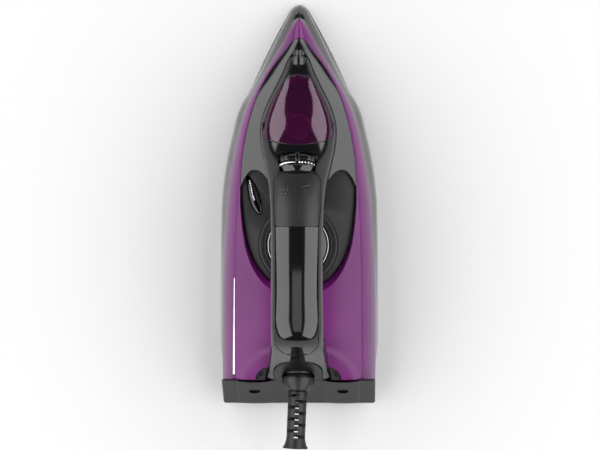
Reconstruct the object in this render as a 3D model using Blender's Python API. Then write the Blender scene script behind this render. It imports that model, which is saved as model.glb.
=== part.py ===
"""Steam iron, built as an assembly of separate pieces.

The iron lies on its sole plate. The origin is on the sole's face, halfway along the sole. +Y points to the nose, +Z up
through the handle, and +X to the right as the user sees it. All sizes below are millimetres; solid_of() turns them
into metres. A rail is a smooth curve of widths or heights along the iron, and most shells are lofted between rails.
"""

import bisect
import math

import bmesh
import bpy
from mathutils import Matrix, Vector

MM = 0.001

# Driving dimensions. The rails are drawn for the DRAWN sizes, and follow these.
LENGTH = 300.0  # nose tip to the heel's lower edge
WIDTH = 118.6  # across the skirt
HEIGHT = 140.5  # sole face to the top of the grip
DRAWN_LENGTH, DRAWN_WIDTH, DRAWN_HEIGHT = 300.0, 118.6, 140.5

GAP = 0.3  # between two pieces that meet
WALL = 2.2  # moulded walls
BREAK = 60.0  # heights above this follow HEIGHT

SKIN = 1.2  # the sole's polished skin
CASTING_TOP, CASTING_INSET = 12.0, 6.6
CHAMBER_INSET, CHAMBER_WALL = 19.0, 3.0
CHAMBER_WALL_TOP = 15.5
GASKET = 1.0
COVER_PLATE = 1.2
STEAM_HOLE_R = 1.25
ELEMENT_R = 3.3
SKIRT_FOOT = 3.4  # height of the skirt's lower edge
FLOOR_Z = 26.5  # underside of the tank's floor
FLOOR = 1.8

DECK_TOP = 54.0
DECK = 2.2
RECESS_LIP = 61.5  # height at which the tank's recess wall reaches its full outline

DIAL_R = 30.0
DIAL_TOP = 63.5
DIAL_RIM = 8.5  # from the cap's side to the dial's edge
DIAL_CAP_R = DIAL_R - DIAL_RIM
DIAL_CAP_TOP = 69.0
DIAL_TRIM = 1.0
SHAFT_R = 3.0

PUMP_R = 4.8
PUMP_BORE_R = 3.7
PUMP_X = 6.5
PUMP_LENGTH = 24.0
PUMP_REACH = 10.0  # how far the piston stands out of its cylinder
ROD_R = 1.6
RUNNING = 0.25  # clearance of a piece that slides or turns in another
PRESS_TRAVEL = 3.5
CLEAN_DEPTH = 3.0  # of the clean button under the deck's face
CLEAN_PROUD = 1.6  # and over it

KNOB_R, KNOB_SHELL = 15.0, 2.6
KNOB_LENGTH = 18.0
KNOB_TILT = math.radians(38)
KNOB_HALF_ANGLE = math.radians(75)
KNOB_PROUD = 1.6
KNOB_TURN = math.radians(25)

GRIP_WINDOW_HALF = 15.6
BUTTON_HALF = 17.2
LID_GAP = 0.4
LID_TAB_FRONT = 34.0
LID_NOTCH = 5.0
LID_HINGE_DEPTH = 1.0

HEEL_TILT = 0.40  # how far the heel leans forward for each unit of height
HEEL_TOP = 57.0
HEEL_FOOT = 10.0
BALL_R = 10.8
BALL_Z = 64.0
SWIVEL_RING = 0.9
SWIVEL_HALF = 3.2
GUARD_YAW = math.radians(-2.5)
GUARD_R, GUARD_BORE_R = 7.0, 3.9
GUARD_LENGTH = 41.0
GUARD_BELL_R = 9.4
GUARD_SLOTS = 8
SLOT_WIDTH = 2.3
SCREW_R = 2.0
HEEL_SCREW_X, HEEL_SCREW_Z = 33.0, 38.0


def sx(x):
    """A drawn half-width at the real width."""
    return x * WIDTH / DRAWN_WIDTH


def sy(y):
    """A drawn station at the real length."""
    return y * LENGTH / DRAWN_LENGTH


def sz(z):
    """A drawn height at the real height: only what is above the body's deck grows."""
    if z <= BREAK:
        return z
    return BREAK + (z - BREAK) * (HEIGHT - BREAK) / (DRAWN_HEIGHT - BREAK)


def rail(points, scale):
    """A smooth curve through (station, value) pairs that doesn't overshoot them."""
    pairs = sorted((sy(y), scale(v)) for y, v in points)
    ys, vs = [p[0] for p in pairs], [p[1] for p in pairs]
    steps = [(vs[i + 1] - vs[i]) / (ys[i + 1] - ys[i]) for i in range(len(ys) - 1)]
    inner = [0.0 if a * b <= 0 else 2 * a * b / (a + b) for a, b in zip(steps, steps[1:])]
    slopes = [steps[0], *inner, steps[-1]]

    def value(y):
        y = min(max(y, ys[0]), ys[-1])
        i = min(bisect.bisect_right(ys, y), len(ys) - 1) - 1
        h = ys[i + 1] - ys[i]
        t = (y - ys[i]) / h
        start = vs[i] * (1 + 2 * t) * (1 - t) ** 2 + slopes[i] * h * t * (1 - t) ** 2
        end = vs[i + 1] * t * t * (3 - 2 * t) + slopes[i + 1] * h * t * t * (t - 1)
        return start + end

    return value


# Half-widths in plan, from the nose back.
NOSE, SOLE_REAR, BODY_REAR, HEEL_REAR = sy(130.0), sy(-129.5), sy(-151.5), sy(-170.0)
sole_w = rail(
    [(130, 2.5), (127, 6), (125, 7.4), (65, 37.8), (52, 43), (35, 48.4), (15, 53), (0, 55.4),
     (-20, 57.4), (-50, 58.6), (-131, 58.8)], sx)
skirt_w = rail(
    [(129, 2.5), (126, 5.5), (123, 7.6), (65, 37.2), (59, 41.4), (48, 46.6), (36, 49.7), (18, 53.8),
     (0, 56.8), (-18, 58.5), (-50, 59.1), (-131, 59.3)], sx)
housing_w = rail(
    [(118.4, 1.2), (117, 3.4), (104.3, 10.7), (88, 19.8), (72, 29), (58.2, 36.3), (47, 41.3), (30.6, 46.2),
     (17, 49), (2, 51.7), (-15, 53.9), (-45, 55.8), (-71, 56.9), (-106, 57.4), (-151.5, 57.2)], sx)
crease_w = rail(
    [(118.4, 0.6), (117, 1.4), (103, 5.0), (97, 9.0), (81, 20.6), (67, 28.6), (56, 33.2), (45, 36.6), (30.6, 40.1),
     (11, 43.0), (-3, 44.0), (-15, 44.8), (-50, 46.2), (-100, 46.8), (-151.5, 47)], sx)
hole_w = rail(
    [(103, 3.4), (101, 5.2), (97, 8.2), (81, 19.8), (67, 27.8), (56, 32.4), (45, 35.8), (30.6, 39.3), (11, 42.2),
     (-3, 43.0), (-15, 43.2), (-30, 42.6), (-49, 40.2), (-65, 35.4), (-77, 28.2), (-85, 19), (-89, 9), (-90, 3)], sx)
deck_w = rail(
    [(103, 3.4), (101, 5.2), (97, 8.2), (81, 19.8), (67, 27.8), (56, 32.4), (45, 35.8), (30.6, 39.3), (11, 42.2),
     (-3, 43.0), (-15, 43.2), (-30, 41.8), (-49, 38.2), (-63, 32.8), (-74, 25), (-81, 16), (-84.5, 7), (-85, 3)], sx)
HOLE_FRONT, HOLE_REAR, DECK_FRONT, DECK_REAR = sy(103.0), sy(-90.0), sy(8.5), sy(-85.0)
handle_w = rail(
    [(93, 3.4), (89, 6.9), (79, 10.9), (65, 17.5), (56, 22), (44.5, 26.4), (34.3, 28.1), (25, 27.8), (15, 26),
     (7, 24.2), (-8, 21), (-25, 19.4), (-60, 18.9), (-119, 19.4), (-132, 20.6), (-143, 22.4), (-151.4, 24.5)], sx)
lid_w = rail(
    [(75.3, 6.6), (74, 8.4), (62.7, 15.3), (53.7, 19.8), (44.5, 23.2), (39.5, 24.7), (31, 24.4), (27, 22.7),
     (24.6, 15), (23.2, 6), (23, 3)], sx)
LID_FRONT, LID_REAR = sy(75.3), sy(23.0)

# Heights along the iron.
split_z = rail([(118, 17), (100, 20), (60, 23), (0, 24.5), (-100, 24), (-151.5, 22)], sz)
crease_z = rail(
    [(118.4, 26), (117, 27), (103, 32), (90, 37.5), (70, 43.5), (50, 48.5), (30, 53), (10, 56.3), (-20, 59), (-60, 60),
     (-110, 59.5), (-130, 58.5), (-151.5, 54)], sz)
crown_z = rail(
    [(118.4, 26.2), (117, 27.6), (103, 34), (90, 42), (70, 53), (50, 60), (30, 64), (10, 66), (-20, 66), (-110, 66),
     (-130, 64), (-151.5, 57)], sz)
handle_top = rail(
    [(93, 43), (84, 49), (75, 55.5), (60, 65), (45, 74.5), (30, 84), (20, 91.5), (10, 100.5), (2, 108.5), (-6, 116),
     (-20, 126), (-37, 134), (-60, 139.5), (-80, 140.5), (-105, 137), (-117, 131.5), (-124, 124.5), (-127.5, 117.5),
     (-130, 111.5), (-140, 86.5), (-151.4, 57.9)], sz)
handle_mid = rail(
    [(93, 38), (75, 47), (60, 54), (45, 60), (30, 67), (15, 79), (2, 94), (-10, 106), (-25, 117), (-60, 125),
     (-105, 123), (-120, 113), (-130, 95), (-140, 72), (-151.4, 54)], sz)
hood_seat = rail([(93, 34), (75, 41), (60, 46), (30, 52), (0, 50), (-151.4, 50)], sz)

# The finger gap under the grip.
GAP_FRONT, GAP_REAR = sy(-19.0), sy(-121.0)
GAP_TOP = sz(112.0)
GAP_POWER = 4.5
CROWN_POWER = 2.35

# Places that several pieces share.
DIAL_Y = sy(-51.3)
PUMP_Y = sy(-11.6)
BUTTON_FRONT, BUTTON_REAR, COVER_REAR = sy(0.8), sy(-37.4), sy(-131.5)
SPOUT_Y, SPOUT_R, SPOUT_BORE_R = sy(36.0), 9.6, 8.0
ROD_Y = sy(14.0)
NOZZLE_Y = sy(84.0)
CLEAN_CORNERS = [(-38.4, 0.5), (-33.5, -5.5), (-30.0, -13.0), (-27.9, -22.0), (-28.0, -28.6), (-33.2, -24.0), (-36.6, -12.0)]
CLEAN_X, CLEAN_Y = sx(-32.0), sy(-15.0)
BALL = Vector((0.0, sy(-151.8), BALL_Z))


SOCKET_R = BALL_R + SWIVEL_RING + 2 * RUNNING + 0.1


def heel_y(z):
    """Where the heel's resting plane is at a height."""
    return BODY_REAR - GAP + (z - HEEL_TOP) * HEEL_TILT


# ---------------------------------------------------------------------------------------------- helpers


def material(name, colour, roughness, metallic=0.0):
    """A plain Principled material, made once."""
    found = bpy.data.materials.get(name)
    if found:
        return found
    made = bpy.data.materials.new(name)
    made.use_nodes = True
    shader = made.node_tree.nodes["Principled BSDF"]
    shader.inputs["Base Color"].default_value = (*colour, 1.0)
    shader.inputs["Roughness"].default_value = roughness
    shader.inputs["Metallic"].default_value = metallic
    return made


FINISHES = {
    "gloss_black": ((0.015, 0.015, 0.017), 0.12, 0.0),
    "satin_black": ((0.03, 0.03, 0.032), 0.45, 0.0),
    "purple": ((0.16, 0.02, 0.15), 0.15, 0.0),
    "smoke": ((0.3, 0.3, 0.32), 0.2, 0.0),
    "rubber": ((0.02, 0.02, 0.02), 0.7, 0.0),
    "silicone": ((0.55, 0.12, 0.06), 0.6, 0.0),
    "steel": ((0.6, 0.6, 0.6), 0.25, 1.0),
    "cast_aluminium": ((0.55, 0.55, 0.56), 0.5, 1.0),
    "chrome": ((0.8, 0.8, 0.82), 0.08, 1.0),
    "brass": ((0.6, 0.42, 0.15), 0.3, 1.0),
    "white_plastic": ((0.75, 0.75, 0.72), 0.4, 0.0),
    "red_wire": ((0.4, 0.15, 0.05), 0.5, 0.0),
    "blue_wire": ((0.05, 0.15, 0.5), 0.5, 0.0),
    "green_wire": ((0.25, 0.45, 0.05), 0.5, 0.0),
}


def collection(name):
    """A collection in the scene, made once."""
    found = bpy.data.collections.get(name)
    if not found:
        found = bpy.data.collections.new(name)
        bpy.context.scene.collection.children.link(found)
    return found


def solid_of(mesh, name, finish=None):
    """An object from a bmesh in millimetres. A piece with no finish is a cutter."""
    bmesh.ops.recalc_face_normals(mesh, faces=mesh.faces)
    bmesh.ops.scale(mesh, vec=(MM, MM, MM), verts=mesh.verts)
    data = bpy.data.meshes.new(name)
    mesh.to_mesh(data)
    mesh.free()
    made = bpy.data.objects.new(name, data)
    if finish is None:
        collection("cutters").objects.link(made)
        made.hide_render = True
        made.display_type = "WIRE"
    else:
        collection("steam_iron").objects.link(made)
        data.materials.append(material(finish, *FINISHES[finish]))
    return made


def loft(name, rings, finish=None, cyclic=False, strips=False):
    """A solid through closed rings of as many points each. A cyclic loft joins its last ring to its first.

    With strips, each end is closed from side to side, which suits a ring that isn't flat."""
    mesh = bmesh.new()
    made = [[mesh.verts.new(p) for p in ring] for ring in rings]
    count = len(made[0])
    pairs = list(zip(made, made[1:] + made[:1] if cyclic else made[1:]))
    for a, b in pairs:
        for i in range(count):
            j = (i + 1) % count
            mesh.faces.new((a[i], a[j], b[j], b[i]))
    for ring in () if cyclic else (made[0], made[-1]):
        if strips:
            for i in range(count // 2 - 1):
                mesh.faces.new((ring[i], ring[i + 1], ring[count - 2 - i], ring[count - 1 - i]))
        else:
            mesh.faces.new(ring)
    return solid_of(mesh, name, finish)


def prism(name, outline, low, high, finish=None):
    """A flat outline of (x, y) points raised from one height to another. The lower one may be a rail."""
    base = [(x, y, low(y) if callable(low) else low) for x, y in outline]
    paired = all(abs(a[0] + b[0]) < 1e-6 for a, b in zip(outline, reversed(outline)))
    return loft(name, [base, [(x, y, high) for x, y in outline]], finish, strips=paired and callable(low))


def box(name, centre, size, finish=None):
    """A box by its centre and its three sides."""
    mesh = bmesh.new()
    bmesh.ops.create_cube(mesh, size=1.0)
    bmesh.ops.scale(mesh, vec=size, verts=mesh.verts)
    bmesh.ops.translate(mesh, vec=centre, verts=mesh.verts)
    return solid_of(mesh, name, finish)


def rod(name, start, end, radius, finish=None, end_radius=None, sides=16):
    """A cylinder or cone between two points."""
    start, end = Vector(start), Vector(end)
    mesh = bmesh.new()
    bmesh.ops.create_cone(
        mesh, cap_ends=True, segments=sides, radius1=radius,
        radius2=radius if end_radius is None else end_radius, depth=(end - start).length)
    turn = (end - start).to_track_quat("Z", "Y").to_matrix().to_4x4()
    bmesh.ops.transform(mesh, matrix=Matrix.Translation((start + end) / 2) @ turn, verts=mesh.verts)
    return solid_of(mesh, name, finish)


def ball(name, centre, radius, finish=None, across=20, rings=10):
    """A sphere."""
    mesh = bmesh.new()
    bmesh.ops.create_uvsphere(mesh, u_segments=across, v_segments=rings, radius=radius)
    bmesh.ops.translate(mesh, vec=centre, verts=mesh.verts)
    return solid_of(mesh, name, finish)


def turned(name, profile, place, finish=None, sides=24, axis=(0, 0, 1)):
    """A closed (radius, height) profile that doesn't touch the axis, spun round it."""
    mesh = bmesh.new()
    points = [mesh.verts.new((r, 0.0, z)) for r, z in profile]
    edges = [mesh.edges.new((points[i], points[(i + 1) % len(points)])) for i in range(len(points))]
    bmesh.ops.spin(
        mesh, geom=points + edges, cent=(0, 0, 0), axis=(0, 0, 1), angle=2 * math.pi, steps=sides,
        use_merge=True, use_duplicate=False)
    turn = Vector(axis).to_track_quat("Z", "Y").to_matrix().to_4x4()
    bmesh.ops.transform(mesh, matrix=Matrix.Translation(place) @ turn, verts=mesh.verts)
    return solid_of(mesh, name, finish)


def tube(name, outer, bore, low, high, x, y, finish=None, sides=16):
    """A straight upright tube."""
    profile = [(outer, high), (outer, low), (bore, low), (bore, high)]
    return turned(name, profile, (x, y, 0), finish, sides)


def wire(name, points, radius, finish, resolution=1):
    """A round wire or hose along a list of points, smoothed between them."""
    curve = bpy.data.curves.new(name, "CURVE")
    curve.dimensions = "3D"
    curve.bevel_depth = radius * MM
    curve.bevel_resolution = resolution
    curve.use_fill_caps = True
    spline = curve.splines.new("POLY")
    spline.points.add(len(points) - 1)
    for point, place in zip(spline.points, points):
        point.co = (*(c * MM for c in place), 1.0)
    made = bpy.data.objects.new(name, curve)
    collection("steam_iron").objects.link(made)
    curve.materials.append(material(finish, *FINISHES[finish]))
    return made


def smooth_path(points, steps=3):
    """Points along a Catmull-Rom curve through the given ones."""
    places = [Vector(p) for p in points]
    places = [2 * places[0] - places[1], *places, 2 * places[-1] - places[-2]]
    path = []
    for a, b, c, d in zip(places, places[1:], places[2:], places[3:]):
        for k in range(steps):
            t = k / steps
            path.append(
                0.5 * (2 * b + (c - a) * t + (2 * a - 5 * b + 4 * c - d) * t * t + (3 * b - a - 3 * c + d) * t ** 3))
    return [*path, places[-2]]


def boolean(body, cutter, operation="DIFFERENCE", keep=False):
    """Cuts, joins or crosses a body with another solid, which is then removed unless it is kept."""
    modifier = body.modifiers.new("cut", "BOOLEAN")
    modifier.operation = operation
    modifier.solver = "EXACT"
    modifier.object = cutter
    bpy.context.view_layer.update()
    graph = bpy.context.evaluated_depsgraph_get()
    result = bpy.data.meshes.new_from_object(body.evaluated_get(graph))
    body.modifiers.clear()
    body.data = result
    if not keep:
        bpy.data.objects.remove(cutter)
    return body


def bored(body, cutters):
    """Cuts each of the cutters from a body."""
    for cutter in cutters:
        boolean(body, cutter)
    return body


def copy_of(source, name, finish=None):
    """A second solid of the same shape."""
    made = bpy.data.objects.new(name, source.data.copy())
    made.data.materials.clear()
    if finish is None:
        collection("cutters").objects.link(made)
        made.hide_render = True
    else:
        collection("steam_iron").objects.link(made)
        made.data.materials.append(material(finish, *FINISHES[finish]))
    return made


def set_origin(made, point):
    """Puts a moving piece's origin on its joint's axis."""
    offset = Vector(point) * MM
    made.data.transform(Matrix.Translation(-offset))
    made.location = offset
    return made


def plan_outline(width, front, rear, grow=0.0, corner=0.0, count=16):
    """A closed plan outline from a half-width rail, round at its rear corners. It has the same number of points always."""
    corner_points = 5
    last = rear - grow + corner
    right = []
    for i in range(count + 1):
        share = i / count
        y = front + grow - (front + grow - last) * (1 - math.cos(math.pi / 2 * share ** 1.15))
        right.append((width(min(y, front)) + grow, y))
    if corner:
        x = width(last) + grow
        for i in range(1, corner_points + 1):
            turn = math.pi / 2 * i / corner_points
            right.append((x - corner * (1 - math.cos(turn)), last - corner * math.sin(turn)))
    return right + [(-x, y) for x, y in reversed(right)]


def moved_in(outline, distance):
    """A clockwise plan outline moved in by a distance along its own normals."""
    found = []
    for before, here, after in zip(outline[-1:] + outline[:-1], outline, outline[1:] + outline[:1]):
        a = (Vector(here) - Vector(before)).normalized()
        b = (Vector(after) - Vector(here)).normalized()
        normal = (Vector((a.y, -a.x)) + Vector((b.y, -b.x))).normalized()
        stretch = 1.0 / max(normal.dot(Vector((a.y, -a.x))), 0.5)
        found.append(tuple(Vector(here) + normal * distance * stretch))
    return found


# ---------------------------------------------------------------------------------------------- base


def sole_outline(inset):
    """The sole's plan outline, drawn in by some distance."""
    return plan_outline(sole_w, NOSE - 1.5 * inset, SOLE_REAR, -inset, 20.0, 18)


def build_sole():
    """The polished skin, the aluminium casting with its steam chamber, and what is clamped on it."""
    skin = prism("sole_skin", plan_outline(sole_w, NOSE, SOLE_REAR, 0, 20.0, 18), 0.0, SKIN, "steel")
    casting = prism("sole_casting", sole_outline(CASTING_INSET), SKIN + GAP, CASTING_TOP, "cast_aluminium")
    wall = prism("chamber_wall", sole_outline(CHAMBER_INSET), CASTING_TOP - 1, CHAMBER_WALL_TOP)
    boolean(casting, wall, "UNION")
    boolean(casting, prism("chamber", sole_outline(CHAMBER_INSET + CHAMBER_WALL), CASTING_TOP - 6, CHAMBER_WALL_TOP + 1))
    rows = [(70, (0,)), (52, (-9, 9)), (34, (-16, 16)), (12, (-20, -7, 7, 20)), (-70, (-24, 24)), (-92, (-20, 20))]
    for y, xs in rows:
        for x in xs:
            place = (sx(x), sy(y), -2)
            for body, top in ((skin, SKIN + 2), (casting, CASTING_TOP)):
                boolean(body, rod("hole", place, (*place[:2], top), STEAM_HOLE_R, sides=8))
    low = CHAMBER_WALL_TOP + GAP
    gasket = prism("chamber_gasket", sole_outline(CHAMBER_INSET + 0.2), low, low + GASKET, "silicone")
    boolean(gasket, prism("inside", sole_outline(CHAMBER_INSET + CHAMBER_WALL - 0.2), low - 1, low + GASKET + 1))
    low += GASKET + GAP
    cover = prism("chamber_cover", sole_outline(CHAMBER_INSET - 0.4), low, low + COVER_PLATE, "steel")
    boolean(cover, rod("feed", (0, ROD_Y, low - 2), (0, ROD_Y, low + 4), 2.5))
    top = low + COVER_PLATE + GAP
    box("thermostat", (0, DIAL_Y, top + 3), (22, 15, 6), "white_plastic")
    rod("thermal_fuse", (-9, DIAL_Y - 22, top + 2.2), (9, DIAL_Y - 22, top + 2.2), 2.0, "steel", sides=12)
    z = CASTING_TOP + GAP + ELEMENT_R
    chamber_front = NOSE - 2.5 * CHAMBER_INSET
    sides = [*(sy(y) for y in (-104, -80, -50, -20, 10, 35, 58)), chamber_front - 8.5, chamber_front + 1.5]
    right = [(sole_w(y) - CHAMBER_INSET + 6.5, y, z) for y in sides]
    legs = [(22.0, sy(-118), z + 4), (31.0, sy(-115.5), z + 0.5)]
    half = [*legs, *right]
    whole = [*half, (0.0, chamber_front + 9.5, z), *((-x, y, h) for x, y, h in reversed(half))]
    wire("heating_element", smooth_path(whole, 2), ELEMENT_R, "steel", 2)
    screws = (("front", 0, chamber_front + 21.5), ("left", -12, sy(-119)), ("right", 12, sy(-119)))
    for name, x, y in screws:
        shaft = rod("base_screw_" + name, (x, y, CASTING_TOP + GAP), (x, y, CASTING_TOP + 4), SCREW_R, "steel", sides=10)
        boolean(shaft, rod("head", (x, y, CASTING_TOP + 3), (x, y, CASTING_TOP + 6), 1.9 * SCREW_R, sides=10), "UNION")
    return top


def build_skirt():
    """The black heat-resistant base between the sole and the tank."""

    def ring(width, rear, z, inset, corner):
        outline = plan_outline(width, NOSE - 1.0 - 1.9 * inset, rear, -inset, corner, 20)
        return [(x, y, z(y) if callable(z) else z) for x, y in outline]

    def top(width, inset):
        outline = plan_outline(width, sy(118.0) - 1.9 * inset, BODY_REAR, -inset, 8.0, 20)
        return [(x, y, split_z(y) - GAP) for x, y in outline]

    rings = [
        ring(skirt_w, sy(-129.0), SKIRT_FOOT, 0.6, 20.0),
        ring(skirt_w, sy(-133.0), SKIRT_FOOT + 5.5, 0.0, 20.0),
        top(housing_w, 0.15),
        top(housing_w, 0.15 + WALL),
        ring(skirt_w, sy(-132.0), SKIRT_FOOT + 6.0, WALL, 18.0),
        ring(skirt_w, sy(-129.0), SKIRT_FOOT, WALL + 0.4, 18.0),
    ]
    loft("base_skirt", rings, "gloss_black", cyclic=True)


def build_tank_floor():
    """The clear floor that closes the tank, with its rear bulkhead and the tunnel for the dial's shaft."""
    rear = sy(-124.0)
    outline = plan_outline(housing_w, sy(94.0), rear, -4.8, 3.0, 14)
    floor = prism("tank_floor", outline, FLOOR_Z, FLOOR_Z + FLOOR, "smoke")
    bulkhead = box("bulkhead", (0, rear + 5, (FLOOR_Z + 51) / 2), (2 * crease_w(rear) - 16, 1.8, 51 - FLOOR_Z))
    boolean(floor, bulkhead, "UNION")
    tunnel_r = SHAFT_R + RUNNING + 2.0
    boolean(floor, rod("tunnel", (0, DIAL_Y, FLOOR_Z), (0, DIAL_Y, DECK_TOP - DECK - GAP), tunnel_r), "UNION")
    holes = [
        rod("shaft_hole", (0, DIAL_Y, FLOOR_Z - 2), (0, DIAL_Y, DECK_TOP), SHAFT_R + RUNNING + 0.4),
        rod("valve_hole", (0, ROD_Y, FLOOR_Z - 2), (0, ROD_Y, FLOOR_Z + 4), 4.0 + GAP),
        rod("clean_hole", (CLEAN_X, CLEAN_Y, FLOOR_Z - 2), (CLEAN_X, CLEAN_Y, FLOOR_Z + 4), 4.0 + GAP),
        rod("steam_hole", (sx(14), sy(0), FLOOR_Z - 2), (sx(14), sy(0), FLOOR_Z + 4), 2.6),
    ]
    bored(floor, holes)


# ---------------------------------------------------------------------------------------------- body shells

HOUSING_STATIONS = [118.4, 117, 112, 103, 94, 85, 75, 65, 55, 45, 35, 24, 12, 0, -15, -32, -50, -70, -90, -106, -120,
                    -130, -138, -145, -151.5]


def body_height(y, x):
    """Height of the body's upper surface inside its crease."""
    return crown_z(y) - (crown_z(y) - crease_z(y)) * min(abs(x) / crease_w(y), 1.0) ** 2


def housing_form(inset=0.0):
    """The body's outer form over the skirt, or the same form drawn in and left deep, to hollow it."""
    rings = []
    for station in HOUSING_STATIONS:
        y = sy(station)
        if inset:
            y = min(max(y, BODY_REAR + inset), sy(118.4) - 3.2 * inset)
        outer = max(housing_w(y) - 1.15 * inset, 0.5)
        crease = max(crease_w(y) - 1.1 * inset, 0.4)
        low = split_z(y) if not inset else 5.0
        half = [(share * crease, body_height(y, share * crease_w(y)) - inset) for share in (0, 0.35, 0.65, 0.88, 1)]
        wall = [(0.62, 0.5), (0.9, 0.2), (1.0, 0.0)]
        base = split_z(y)
        half += [(crease + a * (outer - crease), base + b * (half[-1][1] - base)) for a, b in wall]
        if inset:
            half[-1] = (outer, low)
        rings.append([(x, y, z) for x, z in half] + [(-x, y, z) for x, z in reversed(half[1:])])
    unique = [rings[0]] + [b for a, b in zip(rings, rings[1:]) if abs(a[0][1] - b[0][1]) > 1e-3]
    return loft("housing_form", unique)


def pocket(name, grow, low):
    """The recess in the housing that the hood and the deck fill. Its wall leans in towards the deck."""
    rings = []
    heights = ((low, deck_w, DECK_REAR), (DECK_TOP - 1, deck_w, DECK_REAR), (RECESS_LIP, hole_w, HOLE_REAR),
               (85.0, hole_w, HOLE_REAR))
    for z, width, rear in heights:
        outline = plan_outline(width, HOLE_FRONT, rear, grow, 0.0, 30)
        rings.append([(x, y, z) for x, y in outline])
    return loft(name, rings)


def bonnet_prism(name, grow, rear, low=20.0, high=160.0):
    """The handle's plan outline from the nose back to a station, as a prism."""
    return prism(name, plan_outline(handle_w, sy(93.0), rear, grow, 0.0, 26), low, high)


def hood_outline(inset):
    """The hood's plan outline: the recess's sides, and the two arches at its rear."""
    rear = sy(-8.0)
    sides = moved_in(plan_outline(hole_w, HOLE_FRONT, HOLE_REAR, 0.0, 0.0, 30), inset)
    right = [(x, y) for x, y in sides if x > 0 and y > rear] + [(hole_w(rear) - inset, rear)]
    left = [(-x, y) for x, y in reversed(right)]
    arch = [(sx(x), sy(y)) for x, y in ((40, -1.5), (36.5, 3), (33, 4.6), (29, 3.8), (25, 0.5), (21, -4), (12, -6))]
    return right + arch + [(-x, y) for x, y in reversed(arch)] + left


def build_body_shells():
    """The purple tank housing, the black hood over the nose and the deck that carries the dial."""
    outer, inner = housing_form(), housing_form(WALL)
    hood = boolean(copy_of(outer, "nose_hood", "gloss_black"), prism("hood_cut", hood_outline(GAP), 15, 90), "INTERSECT")
    lip = prism("lip", hood_outline(GAP), DECK_TOP + 0.4, 90)
    inside = prism("lip_inside", [(x, y + WALL if y < sy(20) else y) for x, y in hood_outline(GAP)], 0, 95)
    boolean(lip, inside)
    hood_inner = boolean(copy_of(inner, "hood_inner"), lip)
    boolean(hood, hood_inner)
    boolean(hood, bonnet_prism("bonnet_hole", GAP, sy(-14.0)))
    room_top = DECK_TOP + GAP
    boolean(hood, box("deck_room", (0, DECK_FRONT - 39, room_top / 2), (200, 80, room_top)))
    boolean(hood, prism("clean_way", clean_outline(2 * GAP), 40, DECK_TOP + CLEAN_PROUD + 1.0))

    housing = copy_of(outer, "tank_housing", "purple")
    boolean(inner, pocket("curb", WALL, DECK_TOP - DECK - 2.0))
    boolean(housing, inner)
    boolean(housing, pocket("recess", 0.0, 12.0))
    rear_foot = [(handle_w(sy(y)) + GAP, sy(y)) for y in (-120.0, -132.0, -143.0, -151.0, -156.0)]
    rear_foot[0] = (rear_foot[0][0], GAP_REAR + GAP)
    boolean(housing, prism("foot_hole", rear_foot + [(-x, y) for x, y in reversed(rear_foot)], 48.0, 90.0))
    for side in (-1, 1):
        start, out = heel_screw_line(side)
        boolean(housing, rod("screw_way", start, start - out * 14, SCREW_R + 0.2, sides=12))
    bpy.data.objects.remove(outer)

    deck_points = moved_in(plan_outline(deck_w, HOLE_FRONT, DECK_REAR, 0.0, 0.0, 30), GAP)
    deck = prism("control_deck", deck_points, DECK_TOP - DECK, DECK_TOP, "satin_black")
    cuts = [
        box("deck_end", (0, DECK_FRONT + 100, DECK_TOP), (200, 200, 20)),
        bonnet_prism("pillar_hole", GAP, GAP_FRONT - GAP),
        rod("shaft_hole", (0, DIAL_Y, 40), (0, DIAL_Y, 60), SHAFT_R + RUNNING),
        prism("clean_hole", clean_outline(GAP), 40, 60),
    ]
    bored(deck, cuts)


def clean_outline(grow):
    """The leaf-shaped clean button's plan outline."""
    points = [(sx(x), sy(y)) for x, y in CLEAN_CORNERS]
    middle = (sum(p[0] for p in points) / len(points), sum(p[1] for p in points) / len(points))
    found = []
    for x, y in points:
        away = Vector((x - middle[0], y - middle[1]))
        found.append(tuple(Vector((x, y)) + away.normalized() * grow * 1.4))
    return found


def build_clean_valve():
    """The self-clean button, its plunger, spring and valve seat."""
    button = prism("clean_button", clean_outline(0.0), DECK_TOP - CLEAN_DEPTH, DECK_TOP + CLEAN_PROUD, "gloss_black")
    plunger = rod("clean_plunger", (CLEAN_X, CLEAN_Y, FLOOR_Z + 1), (CLEAN_X, CLEAN_Y, DECK_TOP - CLEAN_DEPTH - GAP), ROD_R,
                  "white_plastic", sides=12)
    set_origin(button, (CLEAN_X, CLEAN_Y, DECK_TOP))
    set_origin(plunger, (CLEAN_X, CLEAN_Y, DECK_TOP))
    tube("clean_valve_seat", 4.0, ROD_R + RUNNING, FLOOR_Z - 4.5, FLOOR_Z + 6.0, CLEAN_X, CLEAN_Y, "white_plastic")
    spring_on("clean_spring", CLEAN_X, CLEAN_Y, FLOOR_Z + 6.0 + GAP, DECK_TOP - CLEAN_DEPTH - GAP)


def spring_on(name, x, y, low, high, turns=5, per_turn=9):
    """A compression spring round a rod."""
    radius, thickness = ROD_R + RUNNING + 1.2, 0.45
    low, high = low + thickness, high - thickness
    points = []
    for i in range(turns * per_turn + 1):
        turn = 2 * math.pi * i / per_turn
        share = i / (turns * per_turn)
        points.append((x + radius * math.cos(turn), y + radius * math.sin(turn), low + share * (high - low)))
    return wire(name, points, thickness, "steel", 0)


# ---------------------------------------------------------------------------------------------- handle


def gap_height(y, grow=0.0):
    """Height of the handle's underside: the top of the finger gap, or its seat in the body outside the gap."""
    middle, half = (GAP_FRONT + GAP_REAR) / 2, (GAP_FRONT - GAP_REAR) / 2 + grow
    share = abs(y - middle) / half
    seat = hood_seat(y) - 12 * (grow > 0)
    if share >= 1:
        return seat
    low = hood_seat(y) - (12 if grow else 0)
    return low + (GAP_TOP + grow - low) * (1 - share ** GAP_POWER) ** (1 / GAP_POWER)


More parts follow.
